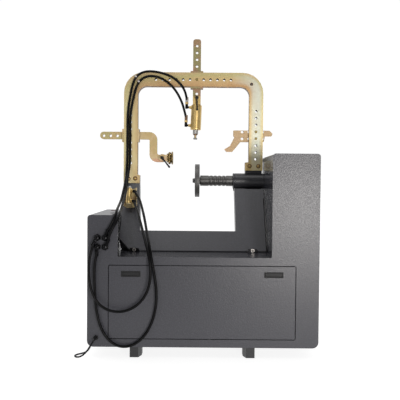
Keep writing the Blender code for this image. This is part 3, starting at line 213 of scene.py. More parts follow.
def zinc(name, tones):
    """Yellow passivated zinc: bands of tan, green and pink, browner on the cut edges and hole walls,
    partly the film's own colour and partly painted shade.
    """
    material, tree, shader = new_material(name, ZINC_METALLIC, ZINC_ROUGHNESS)
    film = noise(tree, place_of(tree), 7.0, 3.0, 1.0)
    stops = [(0.30 + 0.40 * i / (len(tones) - 1), tone) for i, tone in enumerate(tones)]
    base = ramp(tree, film, stops)
    blotches = noise(tree, place_of(tree), 38.0, 5.0, 0.6)
    base = mixed(tree, spread(tree, blotches, 0.0, 0.22), base, scaled(tones[0], 0.75))
    # Brown on every face that does not look along y: partly the film's darker edges, partly painted
    # shade on side faces, undersides and hole walls.
    edges = cut_edge_share(tree)
    base = mixed(tree, edges, base, FILM_AND_SHADE_BROWN)
    zinc_surface(tree, shader, base, edges)
    return material


def arch_depths(tree):
    """How far a place on the arch lies in from its outer edge, and in from its skin."""
    geometry = tree.nodes.new("ShaderNodeNewGeometry")
    split = tree.nodes.new("ShaderNodeSeparateXYZ")
    tree.links.new(geometry.outputs["Position"], split.inputs["Vector"])
    across = maths(tree, "SUBTRACT", split.outputs["X"], ARCH_MIDDLE_X + SHIFT.x)
    across = maths(tree, "ABSOLUTE", across, 0)
    side = maths(tree, "SUBTRACT", across, ARCH_HALF_SPAN - ARCH_RADIUS)
    rise = maths(tree, "SUBTRACT", split.outputs["Z"], ARCH_TOP_Z - ARCH_RADIUS)
    corner = tree.nodes.new("ShaderNodeCombineXYZ")
    tree.links.new(maths(tree, "MAXIMUM", side, 0), corner.inputs["X"])
    tree.links.new(maths(tree, "MAXIMUM", rise, 0), corner.inputs["Y"])
    reach = tree.nodes.new("ShaderNodeVectorMath")
    reach.operation = "LENGTH"
    tree.links.new(corner.outputs["Vector"], reach.inputs[0])
    straight = maths(tree, "MINIMUM", maths(tree, "MAXIMUM", side, rise), 0)
    beyond = maths(tree, "ADD", reach.outputs["Value"], straight)
    depth = maths(tree, "SUBTRACT", ARCH_RADIUS, beyond)
    from_middle = maths(tree, "SUBTRACT", split.outputs["Y"], ARCH_MID_Y + SHIFT.y)
    from_middle = maths(tree, "ABSOLUTE", from_middle, 0)
    behind_face = maths(tree, "SUBTRACT", ARCH_DEPTH / 2, from_middle)
    from_edge = maths(tree, "MINIMUM", depth, maths(tree, "SUBTRACT", LEG_WIDTH, depth))
    skin = maths(tree, "MINIMUM", behind_face, from_edge)
    return split, depth, from_edge, skin


def arch_zinc(name):
    """Passivated zinc whose film follows the arch's edges; deep within the tube's walls it is dull and
    dark brown, painted shade.
    """
    material, tree, shader = new_material(name, ZINC_METALLIC, ZINC_ROUGHNESS)
    split, depth, from_edge, skin = arch_depths(tree)
    place = place_of(tree)
    waves = spread(tree, noise(tree, place, 5.0, 3.0, 0.8), -0.22, 0.22)
    film = maths(tree, "ADD", maths(tree, "DIVIDE", depth, LEG_WIDTH), waves)
    beam = ramp(tree, film, [(0.25 * i, tone) for i, tone in enumerate(SHADED_BEAM_TONES)])
    legs = ramp(tree, film, [(0.25 * i, tone) for i, tone in enumerate(LEG_TONES)])
    # Above z 1.34 the beam takes its own tones, darker than the legs': painted shade that offsets the
    # stronger light on the beam.
    base = mixed(tree, spread(tree, split.outputs["Z"], 0, 1, 1.34, 1.47), legs, beam)
    to_right = spread(tree, split.outputs["X"], 0, 0.85, 0.16, 0.33)
    clear_of_edge = spread(tree, from_edge, 0, 1, 0.004, 0.022)
    pale = maths(tree, "MULTIPLY", to_right, clear_of_edge)
    base = mixed(tree, pale, base, LILAC)
    # Deeper olive low on the right foot: the painted shadow of the cabinet's right tower.
    low = maths(tree, "MULTIPLY", to_right, spread(tree, split.outputs["Z"], 0.6, 0, 0.96, 1.07))
    base = mixed(tree, low, base, SHADOW_OLIVE)
    blotches = noise(tree, place, 38.0, 5.0, 0.6)
    base = mixed(tree, spread(tree, blotches, 0.0, 0.20), base, scaled(SHADED_BEAM_TONES[3], 0.9))
    # Brown on the faces that do not look along y: partly the film's darker edges, partly painted shade
    # on side faces, undersides and hole walls.
    edges = cut_edge_share(tree)
    base = mixed(tree, edges, base, FILM_AND_SHADE_BROWN)
    # Painted shade: places deeper than the skin, seen through the holes, turn a dark dull brown.
    painted_tube_shade = spread(tree, skin, 0, 1, 0.0005, 0.0015)
    base = mixed(tree, painted_tube_shade, base, scaled(FILM_AND_SHADE_BROWN, 0.25))
    zinc_surface(tree, shader, base, maths(tree, "MAXIMUM", edges, painted_tube_shade))
    return material


def metal(name, colour, roughness, grain=(1, 1, 40), wear=0.25, metallic=1.0):
    """Machined metal with fine tool marks and a few duller patches."""
    material, tree, shader = new_material(name, metallic, roughness)
    marks = noise(tree, place_of(tree, grain), 90.0, 4.0)
    patches = noise(tree, place_of(tree), 22.0, 5.0, 0.4)
    base = ramp(tree, patches, [(0.3, scaled(colour, 1 - wear)), (0.65, colour)])
    tree.links.new(base, shader.inputs["Base Color"])
    gloss = spread(tree, marks, max(roughness - 0.05, 0.02), roughness + 0.09)
    tree.links.new(gloss, shader.inputs["Roughness"])
    normal = bumped(tree, marks, 0.04, 0.0002, rounded_normal(tree, 0.0005))
    tree.links.new(normal, shader.inputs["Normal"])
    return material


def rubber(name, colour, roughness, weave=900.0):
    """Black rubber cover with a faint wrapped-cloth texture and dusty patches."""
    material, tree, shader = new_material(name, 0.0, roughness)
    shader.inputs["Specular IOR Level"].default_value = 0.10
    place = place_of(tree)
    dust = noise(tree, place, 30.0, 6.0)
    base = ramp(tree, dust, [(0.40, colour), (0.75, scaled(colour, 2.2))])
    tree.links.new(base, shader.inputs["Base Color"])
    gloss = spread(tree, noise(tree, place, 80.0), roughness - 0.06, roughness + 0.12)
    tree.links.new(gloss, shader.inputs["Roughness"])
    wrap = noise(tree, place, weave, 2.0)
    tree.links.new(bumped(tree, wrap, 0.25, 0.0005), shader.inputs["Normal"])
    return material


def plastic(name, colour, roughness):
    """Moulded plastic with a fine spark-eroded grain."""
    material, tree, shader = new_material(name, 0.0, roughness)
    shader.inputs["Specular IOR Level"].default_value = 0.35
    place = place_of(tree)
    base = ramp(
        tree, noise(tree, place, 55.0, 4.0), [(0.3, scaled(colour, 0.8)), (0.7, scaled(colour, 1.3))]
    )
    tree.links.new(base, shader.inputs["Base Color"])
    gloss = spread(tree, noise(tree, place, 200.0, 3.0), roughness - 0.05, roughness + 0.08)
    tree.links.new(gloss, shader.inputs["Roughness"])
    grain = noise(tree, place, 1500.0, 1.0)
    normal = bumped(tree, grain, 0.12, 0.0003, rounded_normal(tree, 0.0006))
    tree.links.new(normal, shader.inputs["Normal"])
    return material


GREY = paint("cabinet_grey", (0.036, 0.036, 0.044), 0.34)
DARK_GREY = paint("yoke_grey", (0.032, 0.032, 0.039), 0.38)
WALL_GREY = paint("wall_grey", (0.032, 0.032, 0.039), 0.17)
HOUSING_GREY = paint("housing_grey", (0.030, 0.030, 0.034), 0.34)
FOOT_GREY = paint("foot_grey", (0.010, 0.010, 0.012), 0.42)
# Brown for cut edges and hole walls: partly the zinc film's own colour, partly painted shade.
FILM_AND_SHADE_BROWN = (0.15, 0.080, 0.032)
TAN = (0.56, 0.42, 0.20)
GREEN = (0.48, 0.45, 0.21)
PINK = (0.63, 0.38, 0.24)
PALE = (0.66, 0.53, 0.31)
LILAC = (0.60, 0.64, 0.57)
# Painted shadow colour for the arch's right foot.
SHADOW_OLIVE = (0.70, 0.52, 0.13)
# Beam tones, darker than the legs' tones: painted shade against the stronger light on the beam.
SHADED_BEAM_TONES = [
    (0.58, 0.45, 0.24),
    (0.50, 0.45, 0.21),
    (0.57, 0.44, 0.21),
    (0.56, 0.37, 0.18),
    (0.47, 0.27, 0.12),
]
LEG_TONES = [
    (0.70, 0.57, 0.29),
    (0.66, 0.61, 0.33),
    (0.73, 0.63, 0.38),
    (0.72, 0.59, 0.31),
    (0.62, 0.46, 0.23),
]
ARCH_ZINC = arch_zinc("arch_zinc")
BAR_ZINC = zinc("bar_zinc", [PINK, PALE, TAN, GREEN, PINK])
MAST_ZINC = zinc("mast_zinc", [scaled(tone, 0.64) for tone in (TAN, PINK, GREEN, PALE)])
HOOK_ZINC = zinc("hook_zinc", [(0.48, 0.33, 0.21), (0.44, 0.32, 0.18), scaled(PINK, 0.72)])
HOLDER_ZINC = zinc("holder_zinc", [(0.80, 0.60, 0.38), (0.70, 0.62, 0.34), (0.82, 0.56, 0.38)])
GOLD = metal("gold_plating", (0.70, 0.50, 0.20), 0.36, (1, 1, 1), 0.18, 0.80)
PIN_GOLD = metal("pin_gold", (0.34, 0.26, 0.09), 0.45, (1, 1, 1), 0.30, 0.60)
CUP_GOLD = metal("dark_gold", (0.44, 0.31, 0.12), 0.30, (1, 1, 1), 0.75, 0.80)
RUSTY = metal("rusty_washer", (0.22, 0.10, 0.045), 0.50, wear=0.6, metallic=0.3)
COPPER = metal("bronze_sleeve", (0.24, 0.14, 0.08), 0.42, metallic=0.5)
CHROME = metal("chrome_rod", (0.46, 0.45, 0.43), 0.30, wear=0.25, metallic=0.60)
SILVER = metal("plated_steel", (0.60, 0.56, 0.53), 0.40, metallic=0.35)
STEEL = metal("oiled_steel", (0.115, 0.112, 0.108), 0.36, wear=0.20, metallic=0.55)
FLANGE_STEEL = metal("turned_steel", (0.115, 0.113, 0.110), 0.44, (1, 1, 1), 0.08, 0.35)
BLACKENED = metal("blackened_steel", (0.010, 0.010, 0.011), 0.36, metallic=0.95)
GLOSS_BLACK = metal("oiled_black", (0.014, 0.014, 0.015), 0.24, (1, 1, 1), metallic=0.95)
HOSE = rubber("hose_rubber", (0.0026, 0.0026, 0.0029), 0.36)
LEAD = rubber("lead_rubber", (0.0040, 0.0040, 0.0042), 0.55, 1400.0)
TRIM = rubber("trim_rubber", (0.014, 0.014, 0.015), 0.50)
BLACK = plastic("black_plastic", (0.005, 0.005, 0.0055), 0.50)
RED = plastic("red_plastic", (0.48, 0.10, 0.08), 0.35)

NODE_MATERIALS = {
    GREY: "front_cover base_pan left_side_panel right_side_panel service_door "
    "electrical_box",
    WALL_GREY: "left_inner_wall right_inner_wall front_ledge rear_cover",
    DARK_GREY: "yoke_frame yoke_beam spindle_block spindle_housing oil_tank",
    FOOT_GREY: "foot_front_left foot_front_right foot_rear_left foot_rear_right",
    ARCH_ZINC: "arch_frame",
    BAR_ZINC: "side_arm arm_collar_outer arm_collar_inner cup_head",
    MAST_ZINC: "mast_bar mast_collar_top mast_collar_bottom",
    HOOK_ZINC: "hook_plate",
    HOLDER_ZINC: "ram_holder",
    GOLD: "ram_clamp ram_barrel portable_barrel",
    PIN_GOLD: "mast_pin arm_pin hook_pin_upper hook_pin_lower",
    CHROME: "ram_rod portable_rod",
    STEEL: "ribbed_sleeve gearmotor pump_motor",
    FLANGE_STEEL: "spindle_shaft wheel_flange",
    BLACKENED: "hydraulic_manifold",
    TRIM: "yoke_edge_trim",
    BLACK: "cord_gland mains_plug start_button left_latch_paddle right_latch_paddle",
    RED: "stop_button",
}


def dress_nodes():
    for material, names in NODE_MATERIALS.items():
        for name in names.split():
            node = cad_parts[name]
            node.data.materials.clear()
            node.data.materials.append(material)


# Shape helpers


def finished(name, bm, material, body, matrix=None, smooth=True):
    mesh = bpy.data.meshes.new(name)
    bmesh.ops.recalc_face_normals(bm, faces=bm.faces)
    bm.to_mesh(mesh)
    bm.free()
    if smooth:
        mesh.shade_smooth()
        mesh.set_sharp_from_angle(angle=math.radians(38))
    obj = bpy.data.objects.new(name, mesh)
    bpy.context.scene.collection.objects.link(obj)
    if matrix is not None:
        obj.matrix_world = matrix
    mesh.materials.append(material)
    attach(obj, body)
    return obj


def facing(place, direction, turn=0.0):
    """A placement whose own z runs along direction."""
    rotation = Vector(direction).to_track_quat("Z", "X").to_matrix().to_4x4()
    return Matrix.Translation(place) @ rotation @ Matrix.Rotation(turn, 4, "Z")


def lathe(profile, segments=32, scallop=None):
    """A turned mesh of (radius, height) points; scallop changes the radius with the angle."""
    bm = bmesh.new()
    rings = []
    for radius, height in profile:
        if radius <= 0:
            rings.append([bm.verts.new((0, 0, height))])
            continue
        ring = []
        for i in range(segments):
            angle = 2 * math.pi * i / segments
            r = scallop(radius, height, angle) if scallop else radius
            ring.append(bm.verts.new((r * math.cos(angle), r * math.sin(angle), height)))
        rings.append(ring)
    for low, high in zip(rings, rings[1:]):
        for i in range(segments):
            j = (i + 1) % segments
            corners = [low[i % len(low)], low[j % len(low)], high[j % len(high)], high[i % len(high)]]
            unique = [v for k, v in enumerate(corners) if v not in corners[:k]]
            if len(unique) > 2:
                bm.faces.new(unique)
    return bm


def turned(name, profile, place, direction, material, body="frame", segments=32, turn=0.0):
    bm = lathe(profile, segments)
    return finished(name, bm, material, body, facing(place, direction, turn), segments > 8)


def hexagon(name, place, direction, radius, height, material, body="frame", bore=0.0, turn=0.0):
    """A hexagonal nut or head with chamfered corners, standing on place."""
    flat = radius * math.cos(math.pi / 6)
    inner = max(bore, 0.0)
    profile = [
        (inner, 0),
        (radius, 0),
        (radius, height - 0.12 * radius),
        (flat, height),
        (inner if bore else 0, height),
    ]
    if bore:
        profile.append((inner, 0))
    return turned(name, profile, place, direction, material, body, 6, turn)


def screw(name, place, direction, radius, material, body="frame"):
    """A domed screw with a hexagon socket in its head."""
    socket = radius * 0.45
    profile = [
        (0, radius * 0.15),
        (socket, radius * 0.15),
        (socket, radius * 0.55),
        (radius * 0.75, radius * 0.45),
        (radius, 0.0),
        (0, 0.0),
    ]
    return turned(name, profile, place, direction, material, body, 20)


def rounded(corners, steps=4):
    """An outline through (u, v, radius) corners, each rounded by its radius."""
    outline = []
    count = len(corners)
    for index, (u, v, radius) in enumerate(corners):
        corner = Vector((u, v))
        before = Vector(corners[index - 1][:2]) - corner
        after = Vector(corners[(index + 1) % count][:2]) - corner
        if radius <= 0:
            outline.append((u, v))
            continue
        half = before.angle(after) / 2
        before.normalize()
        after.normalize()
        centre = corner + (before + after).normalized() * radius / math.sin(half)
        first = corner + before * radius / math.tan(half) - centre
        last = corner + after * radius / math.tan(half) - centre
        turn = first.angle_signed(last)
        for step in range(steps + 1):
            spoke = Matrix.Rotation(-turn * step / steps, 2) @ first
            outline.append(tuple(centre + spoke))
    return outline


def rounded_box(half_width, half_height, radius):
    corners = [(-1, -1), (1, -1), (1, 1), (-1, 1)]
    return rounded([(u * half_width, v * half_height, radius) for u, v in corners])


def slab(name, outline, thickness, matrix, material, body="frame", edge=0.0006, hole=None):
    """A plate with a rounded outline and eased edges; its own z is its thickness."""
    bm = bmesh.new()
    loops = [outline] + ([hole] if hole else [])
    edges = []
    for loop in loops:
        verts = [bm.verts.new((u, v, 0)) for u, v in loop]
        edges += [bm.edges.new((a, b)) for a, b in zip(verts, verts[1:] + verts[:1])]
    bmesh.ops.triangle_fill(bm, edges=edges, use_beauty=True)
    faces = bm.faces[:]
    made = bmesh.ops.extrude_face_region(bm, geom=faces)
    moved = [v for v in made["geom"] if isinstance(v, bmesh.types.BMVert)]
    bmesh.ops.translate(bm, verts=moved, vec=(0, 0, thickness))
    obj = finished(name, bm, material, body, matrix, smooth=False)
    bevel = obj.modifiers.new("edge", "BEVEL")
    bevel.width = edge
    bevel.segments = 2
    bevel.limit_method = "ANGLE"
    bevel.angle_limit = math.radians(50)
    return obj


def smooth_route(points, spacing):
    """Points at an even spacing along a smooth curve through the route's points."""
    knots = [Vector(p) for p in points]
    knots = [2 * knots[0] - knots[1], *knots, 2 * knots[-1] - knots[-2]]
    fine = []
    for a, b, c, d in zip(knots, knots[1:], knots[2:], knots[3:]):
        for step in range(20):
            t = step / 20
            cubic = (2 * a - 5 * b + 4 * c - d) * t**2 + (3 * b - a - 3 * c + d) * t**3
            fine.append(0.5 * (2 * b + (c - a) * t + cubic))
    fine.append(knots[-2])
    lengths = [0.0]
    for a, b in zip(fine, fine[1:]):
        lengths.append(lengths[-1] + (b - a).length)
    count = max(2, round(lengths[-1] / spacing))
    route = []
    index = 0
    for step in range(count + 1):
        target = lengths[-1] * step / count
        while index < len(fine) - 2 and lengths[index + 1] < target:
            index += 1
        span = lengths[index + 1] - lengths[index]
        share = 0 if span == 0 else (target - lengths[index]) / span
        route.append(fine[index].lerp(fine[index + 1], min(share, 1)))
    return route


def tube(name, route, radius, material, body="frame", radii=None, sides=6):
    """A round tube along a route, as one smooth spline that starts and ends on the route's ends."""
    curve = bpy.data.curves.new(name, "CURVE")
    curve.dimensions = "3D"
    curve.bevel_depth = radius
    curve.bevel_resolution = sides
    curve.resolution_u = 6
    curve.use_fill_caps = True
    spline = curve.splines.new("NURBS")
    spline.points.add(len(route) - 1)
    for index, place in enumerate(route):
        spline.points[index].co = (*place, 1)
        spline.points[index].radius = radii[index] if radii else 1.0
    spline.order_u = 4
    spline.use_endpoint_u = True
    obj = bpy.data.objects.new(name, curve)
    bpy.context.scene.collection.objects.link(obj)
    curve.materials.append(material)
    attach(obj, body)
    return obj


# Hoses, with the same routes as their solids

RAM_PIVOT = Vector((-0.042, ARCH_MID_Y, 1.383))
RAM_TILT = math.radians(2.0)
RAM_PORTS = {"upper": -0.055, "lower": -0.161}
RAM_PORT_X = -0.0585
RAM_ELBOW = 0.030
OUTLET_RADIUS = 0.011
FRONT_REACH = -0.030
PORTABLE_X = -0.4235
PORTABLE_OUT = 0.038
PORTABLE_PORTS = {"lower": 0.320, "upper": 0.387}
PORT_WAY = Vector((0.80, -0.50, 0.33)).normalized()
PORT_REACH = 0.027
GAP = 0.0003

RAM_FRAME = Matrix.Translation(RAM_PIVOT) @ Matrix.Rotation(RAM_TILT, 4, "Y")
SLOPE_FRAME = Matrix.Translation(YOKE_FOOT) @ Matrix.Rotation(math.pi / 2 - YOKE_LEAN, 4, "X")


def ram_hose_end(drop):
    rises = (RAM_ELBOW + 0.014, RAM_ELBOW + GAP)
    return [RAM_FRAME @ Vector((RAM_PORT_X, 0, drop + rise)) for rise in rises]


def portable_hose_end(height):
    base = Vector((PORTABLE_X, height, PORTABLE_OUT))
    return [SLOPE_FRAME @ (base + PORT_WAY * along) for along in (PORT_REACH + 0.014, PORT_REACH + GAP)]


def outlet_nipple(outlet, way, length=0.024):
    middle = Vector((outlet[0], FRONT_REACH + OUTLET_RADIUS, outlet[1]))
    return middle, middle + Vector(way).normalized() * length


HOSES = {
    "hose_ram_upper": {
        "outlet": (-0.496, 0.607),
        "leaves": (0.35, -0.08, 0.93),
        "ends": ram_hose_end(RAM_PORTS["upper"]),
        "route": [
            (-0.475, -0.022, 0.655),
            (-0.456, -0.019, 0.688),
            (-0.441, -0.009, 0.729),
            (-0.441, 0.014, 0.744),
            (-0.442, 0.055, 0.751),
            (-0.450, 0.150, 0.757),
            (-0.453, 0.300, 0.785),
            (-0.452, 0.430, 0.845),
            (-0.449, 0.520, 0.910),
            (-0.447, 0.555, 0.990),
            (-0.446, 0.561, 1.100),
            (-0.446, 0.561, 1.200),
            (-0.444, 0.561, 1.300),
            (-0.432, 0.561, 1.385),
            (-0.415, 0.560, 1.465),
            (-0.393, 0.558, 1.510),
            (-0.350, 0.554, 1.531),
            (-0.300, 0.550, 1.532),
            (-0.240, 0.548, 1.521),
            (-0.185, 0.550, 1.500),
            (-0.140, 0.557, 1.465),
            (-0.110, 0.577, 1.420),
            (-0.102, 0.595, 1.387),
        ],
    },
    "hose_ram_lower": {
        "outlet": (-0.496, 0.560),
        "leaves": (0.45, -0.25, 0.86),
        "ends": ram_hose_end(RAM_PORTS["lower"]),
        "route": [
            (-0.479, -0.034, 0.613),
            (-0.457, -0.034, 0.654),
            (-0.440, -0.026, 0.689),
            (-0.431, -0.016, 0.702),
            (-0.426, 0.002, 0.719),
            (-0.428, 0.050, 0.735),
            (-0.435, 0.150, 0.740),
            (-0.437, 0.300, 0.790),
            (-0.437, 0.425, 0.840),
            (-0.437, 0.485, 0.898),
            (-0.435, 0.520, 0.942),
            (-0.430, 0.557, 0.998),
            (-0.430, 0.561, 1.090),
            (-0.430, 0.561, 1.190),
            (-0.429, 0.561, 1.280),
            (-0.418, 0.561, 1.350),
            (-0.400, 0.561, 1.430),
            (-0.380, 0.559, 1.477),
            (-0.345, 0.554, 1.500),
            (-0.300, 0.549, 1.507),
            (-0.250, 0.548, 1.493),
            (-0.205, 0.551, 1.465),
            (-0.160, 0.560, 1.415),
            (-0.125, 0.580, 1.345),
            (-0.109, 0.597, 1.281),
        ],
    },
    "hose_portable_lower": {
        "outlet": (-0.536, 0.607),
        "leaves": (-0.50, -0.20, -0.83),
        "ends": portable_hose_end(PORTABLE_PORTS["lower"]),
        "route": [
            (-0.560, -0.036, 0.547),
            (-0.570, -0.042, 0.505),
            (-0.573, -0.045, 0.440),
            (-0.561, -0.045, 0.350),
            (-0.525, -0.045, 0.280),
            (-0.475, -0.045, 0.247),
            (-0.420, -0.045, 0.238),
            (-0.360, -0.045, 0.253),
            (-0.305, -0.045, 0.297),
            (-0.273, -0.045, 0.360),
            (-0.263, -0.043, 0.430),
            (-0.269, -0.037, 0.495),
            (-0.283, -0.012, 0.552),
            (-0.300, 0.045, 0.596),
            (-0.334, 0.185, 0.671),
            (-0.366, 0.320, 0.734),
            (-0.384, 0.380, 0.760),
        ],
    },
    "hose_portable_upper": {
        "outlet": (-0.536, 0.560),
        "leaves": (0, -0.12, -0.99),
        "ends": portable_hose_end(PORTABLE_PORTS["upper"]),
        "route": [
            (-0.543, -0.024, 0.512),
            (-0.548, -0.022, 0.440),
            (-0.545, -0.021, 0.340),
            (-0.535, -0.021, 0.230),
            (-0.505, -0.021, 0.135),
            (-0.455, -0.021, 0.074),
            (-0.400, -0.021, 0.056),
            (-0.345, -0.021, 0.069),
            (-0.295, -0.021, 0.112),
            (-0.256, -0.021, 0.185),
            (-0.237, -0.021, 0.270),
            (-0.236, -0.020, 0.350),
            (-0.248, -0.018, 0.430),
            (-0.262, -0.014, 0.505),
            (-0.274, 0.010, 0.568),
            (-0.289, 0.070, 0.614),
            (-0.319, 0.220, 0.704),
            (-0.355, 0.370, 0.787),
            (-0.376, 0.420, 0.814),
        ],
    },
}

LEAD_ROUTE = [
    (-0.5420, -0.0223, 0.0990),
    (-0.5420, -0.0300, 0.0990),
    (-0.5450, -0.0430, 0.0950),
    (-0.5530, -0.0530, 0.0830),
    (-0.5680, -0.0570, 0.0580),
    (-0.5850, -0.0530, 0.0340),
    (-0.6030, -0.0450, 0.0150),
    (-0.6240, -0.0350, 0.0060),
    (-0.6430, -0.0190, 0.0043),
    (-0.6530, 0.0050, 0.0043),
    (-0.6480, 0.0290, 0.0043),
    (-0.6280, 0.0450, 0.0043),
    (-0.6100, 0.0640, 0.0043),
    (-0.6020, 0.0950, 0.0043),
    (-0.6000, 0.1400, 0.0043),
    (-0.6020, 0.2100, 0.0043),
    (-0.6080, 0.3200, 0.0043),
    (-0.6150, 0.4500, 0.0043),
    (-0.6100, 0.5800, 0.0043),
    (-0.5820, 0.6750, 0.0043),
    (-0.5300, 0.7100, 0.0043),
    (-0.4750, 0.7190, 0.0043),
    (-0.4400, 0.7190, 0.0043),
    (-0.4285, 0.7190, 0.0043),
]
COIL_X = -0.395
COIL_Y = 0.775
COIL_OUTER = 0.056
COIL_INNER = 0.040
COIL_LOW = 0.0043
COIL_HIGH = 0.0123
PLUG_TAIL_X = -0.360
PLUG_Z = 0.0193


def sleeve(name, route, start, length, radius, material, body="frame", ends=0.0008):
    """A crimped sleeve along a straight stretch of a hose's route, from a distance in."""
    way = (route[1] - route[0]).normalized()
    place = route[0] + way * start
    waist = radius - 0.0006
    profile = [(0, 0), (radius - ends, 0), (radius, ends)]
    steps = 4
    for i in range(steps):
        low = ends + (length - 2 * ends) * (i + 0.25) / steps
        high = ends + (length - 2 * ends) * (i + 0.75) / steps
        profile += [(radius, low), (waist, low + 0.0006), (waist, high - 0.0006), (radius, high)]
    profile += [(radius, length - ends), (radius - ends, length), (0, length)]
    return turned(name, profile, place, way, material, body, 28)


def hoses():
    for name, hose in HOSES.items():
        middle, tip = outlet_nipple(hose["outlet"], hose["leaves"])
        onward = (tip - middle).normalized()
        points = [tip + onward * GAP, tip + onward * 0.010, *hose["route"], *hose["ends"]]
        points = [Vector(p) + SHIFT for p in points]
        route = [points[0], *smooth_route(points[1:-1], 0.045), points[-1]]
        piece = tube(name + "_run", route, HOSE_DIAMETER / 2, HOSE)
        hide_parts(name)
        outlet_fitting(name, middle + SHIFT, tip + SHIFT, route)
        if name.startswith("hose_ram"):
            ram_fitting(name, list(reversed(route)))
        else:
            portable_fitting(name, list(reversed(route)))


def outlet_fitting(name, middle, tip, route):
    """A bulkhead nut at the sheet, a capped elbow and a crimp on the hose that leaves it."""
    out = Vector((0, -1, 0))
    sheet = Vector((middle.x, SHIFT.y, middle.z))
    hexagon(name + "_bulkhead", sheet + out * 0.0004, out, 0.0185, 0.0060, BLACKENED, bore=0.0112)
    dome = [(0.0112, 0), (0.0148, 0.0008), (0.0152, 0.0030), (0.0152, 0.0150), (0.0135, 0.0200)]
    dome += [(0.0090, 0.0232), (0, 0.0240)]
    turned(name + "_outlet_dome", dome, sheet + out * 0.0068, out, GLOSS_BLACK, segments=36)
    way = (tip - middle).normalized()
    hexagon(name + "_swivel", middle + way * 0.0125, way, 0.0100, 0.0095, BLACKENED, bore=0.0071)
    sleeve(name + "_crimp", route, -0.0015, 0.024, 0.0088, BLACKENED)


def ram_fitting(name, route):
    """A plated nut on the ram's elbow and a crimped sleeve on the hose above it."""
    way = (route[1] - route[0]).normalized()
    upper = name.endswith("upper")
    hexagon(name + "_nut", route[0] - way * 0.0110, way, 0.0098, 0.0105, GOLD, bore=0.0076)
    sleeve(name + "_sleeve", route, 0.0002, 0.029, 0.0094, SILVER if upper else COPPER)
    elbow_end = route[0] - way * (RAM_ELBOW + GAP)
    side = Vector((math.cos(RAM_TILT), 0, -math.sin(RAM_TILT)))
    round_back = [(0, -0.0090), (0.0060, -0.0090), (0.0084, -0.0060)]
    round_back += [(0.0084, 0.0170), (0.0076, 0.0180), (0, 0.0180)]
    turned(name + "_elbow", round_back, elbow_end, way, BLACKENED)
    stem = [(0, 0.0), (0.0066, 0.0), (0.0066, 0.0125), (0, 0.0125)]
    turned(name + "_elbow_stem", stem, elbow_end, side, BLACKENED)
    ring = [(0, 0.0125), (0.0060, 0.0125), (0.0060, 0.0142), (0, 0.0142)]
    turned(name + "_nipple", ring, elbow_end, side, SILVER)


def portable_fitting(name, route):
    way = (route[1] - route[0]).normalized()
    hexagon(name + "_nut", route[0] - way * 0.0075, way, 0.0094, 0.0070, GOLD, bore=0.0071)
    sleeve(name + "_sleeve", route, 0.0002, 0.022, 0.0088, BLACKENED)


# Mains lead: gland, free run, neat coil behind the cabinet and its plug


def coil_points():
    """Two flat layers of turns: in along the floor, one turn up, and out again on top."""
    per_turn = 16
    spiral = (COIL_OUTER - COIL_INNER) / LEAD_DIAMETER
    points = []
    for step in range(1, round((2 * spiral + 1) * per_turn)):
        turn = step / per_turn
        climb = min(max(turn - spiral, 0), 1)
        if turn <= spiral:
            radius = COIL_OUTER - LEAD_DIAMETER * turn
        elif climb < 1:
            radius = COIL_INNER - LEAD_DIAMETER / 2 * math.sin(math.pi * climb)
        else:
            radius = COIL_INNER + LEAD_DIAMETER * (turn - spiral - 1)
        angle = -math.pi / 2 + 2 * math.pi * turn
        height = COIL_LOW + (COIL_HIGH - COIL_LOW) * climb
        points.append(
            Vector((COIL_X + radius * math.cos(angle), COIL_Y + radius * math.sin(angle), height))
        )
    return points


def mains_lead():
    run = [Vector(LEAD_ROUTE[0]), *smooth_route(LEAD_ROUTE[1:], 0.034)]
    side_y = COIL_Y - COIL_OUTER
    run.append(Vector((COIL_X, side_y, COIL_LOW)))
    run += coil_points()
    run.append(Vector((COIL_X, side_y, COIL_HIGH)))
    run.append(Vector((COIL_X + 0.014, side_y, COIL_HIGH + 0.0022)))
    run.append(Vector((PLUG_TAIL_X - GAP, side_y, PLUG_Z)))
    route = [p + SHIFT for p in run]
    lead = tube("mains_lead", route, LEAD_DIAMETER / 2, LEAD)
    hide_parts("mains_cord", "mains_coil")
    relief = [p + SHIFT for p in smooth_route(LEAD_ROUTE[:4], 0.006)][:6]
    taper = [1.0 - 0.07 * i for i in range(len(relief))]
    tube("lead_relief", relief, 0.0066, BLACK, radii=taper)


# Small pieces


def arch_details():
    """The screws and washers of the arch's feet, the one at its corner, and the hose clip."""
    front = ARCH_FRONT_Y
    out = (0, -1, 0)
    foot_bolts = [(-0.4010, 0.908), (-0.4405, 0.905), (0.2710, 0.986), (0.3220, 0.986)]
    thick = 0.0018
    ring = [(0, 0), (0.0125, 0), (0.0125, 0.0012), (0.0118, thick), (0, thick)]
    for index, (x, z) in enumerate(foot_bolts):
        turned(f"foot_washer_{index}", ring, at(x, front, z), out, RUSTY, segments=36)
        screw(f"foot_screw_{index}", at(x, front - thick, z), out, 0.0082, GOLD)
    corner_x, corner_z, thin = 0.2773, 1.4653, 0.0014
    ring = [(0, 0), (0.0092, 0), (0.0092, 0.0008), (0.0086, thin), (0, thin)]
    turned("corner_washer", ring, at(corner_x, front, corner_z), out, RUSTY, segments=32)
    screw("corner_screw", at(corner_x, front - thin, corner_z), out, 0.0060, STEEL)
    hose_clip()


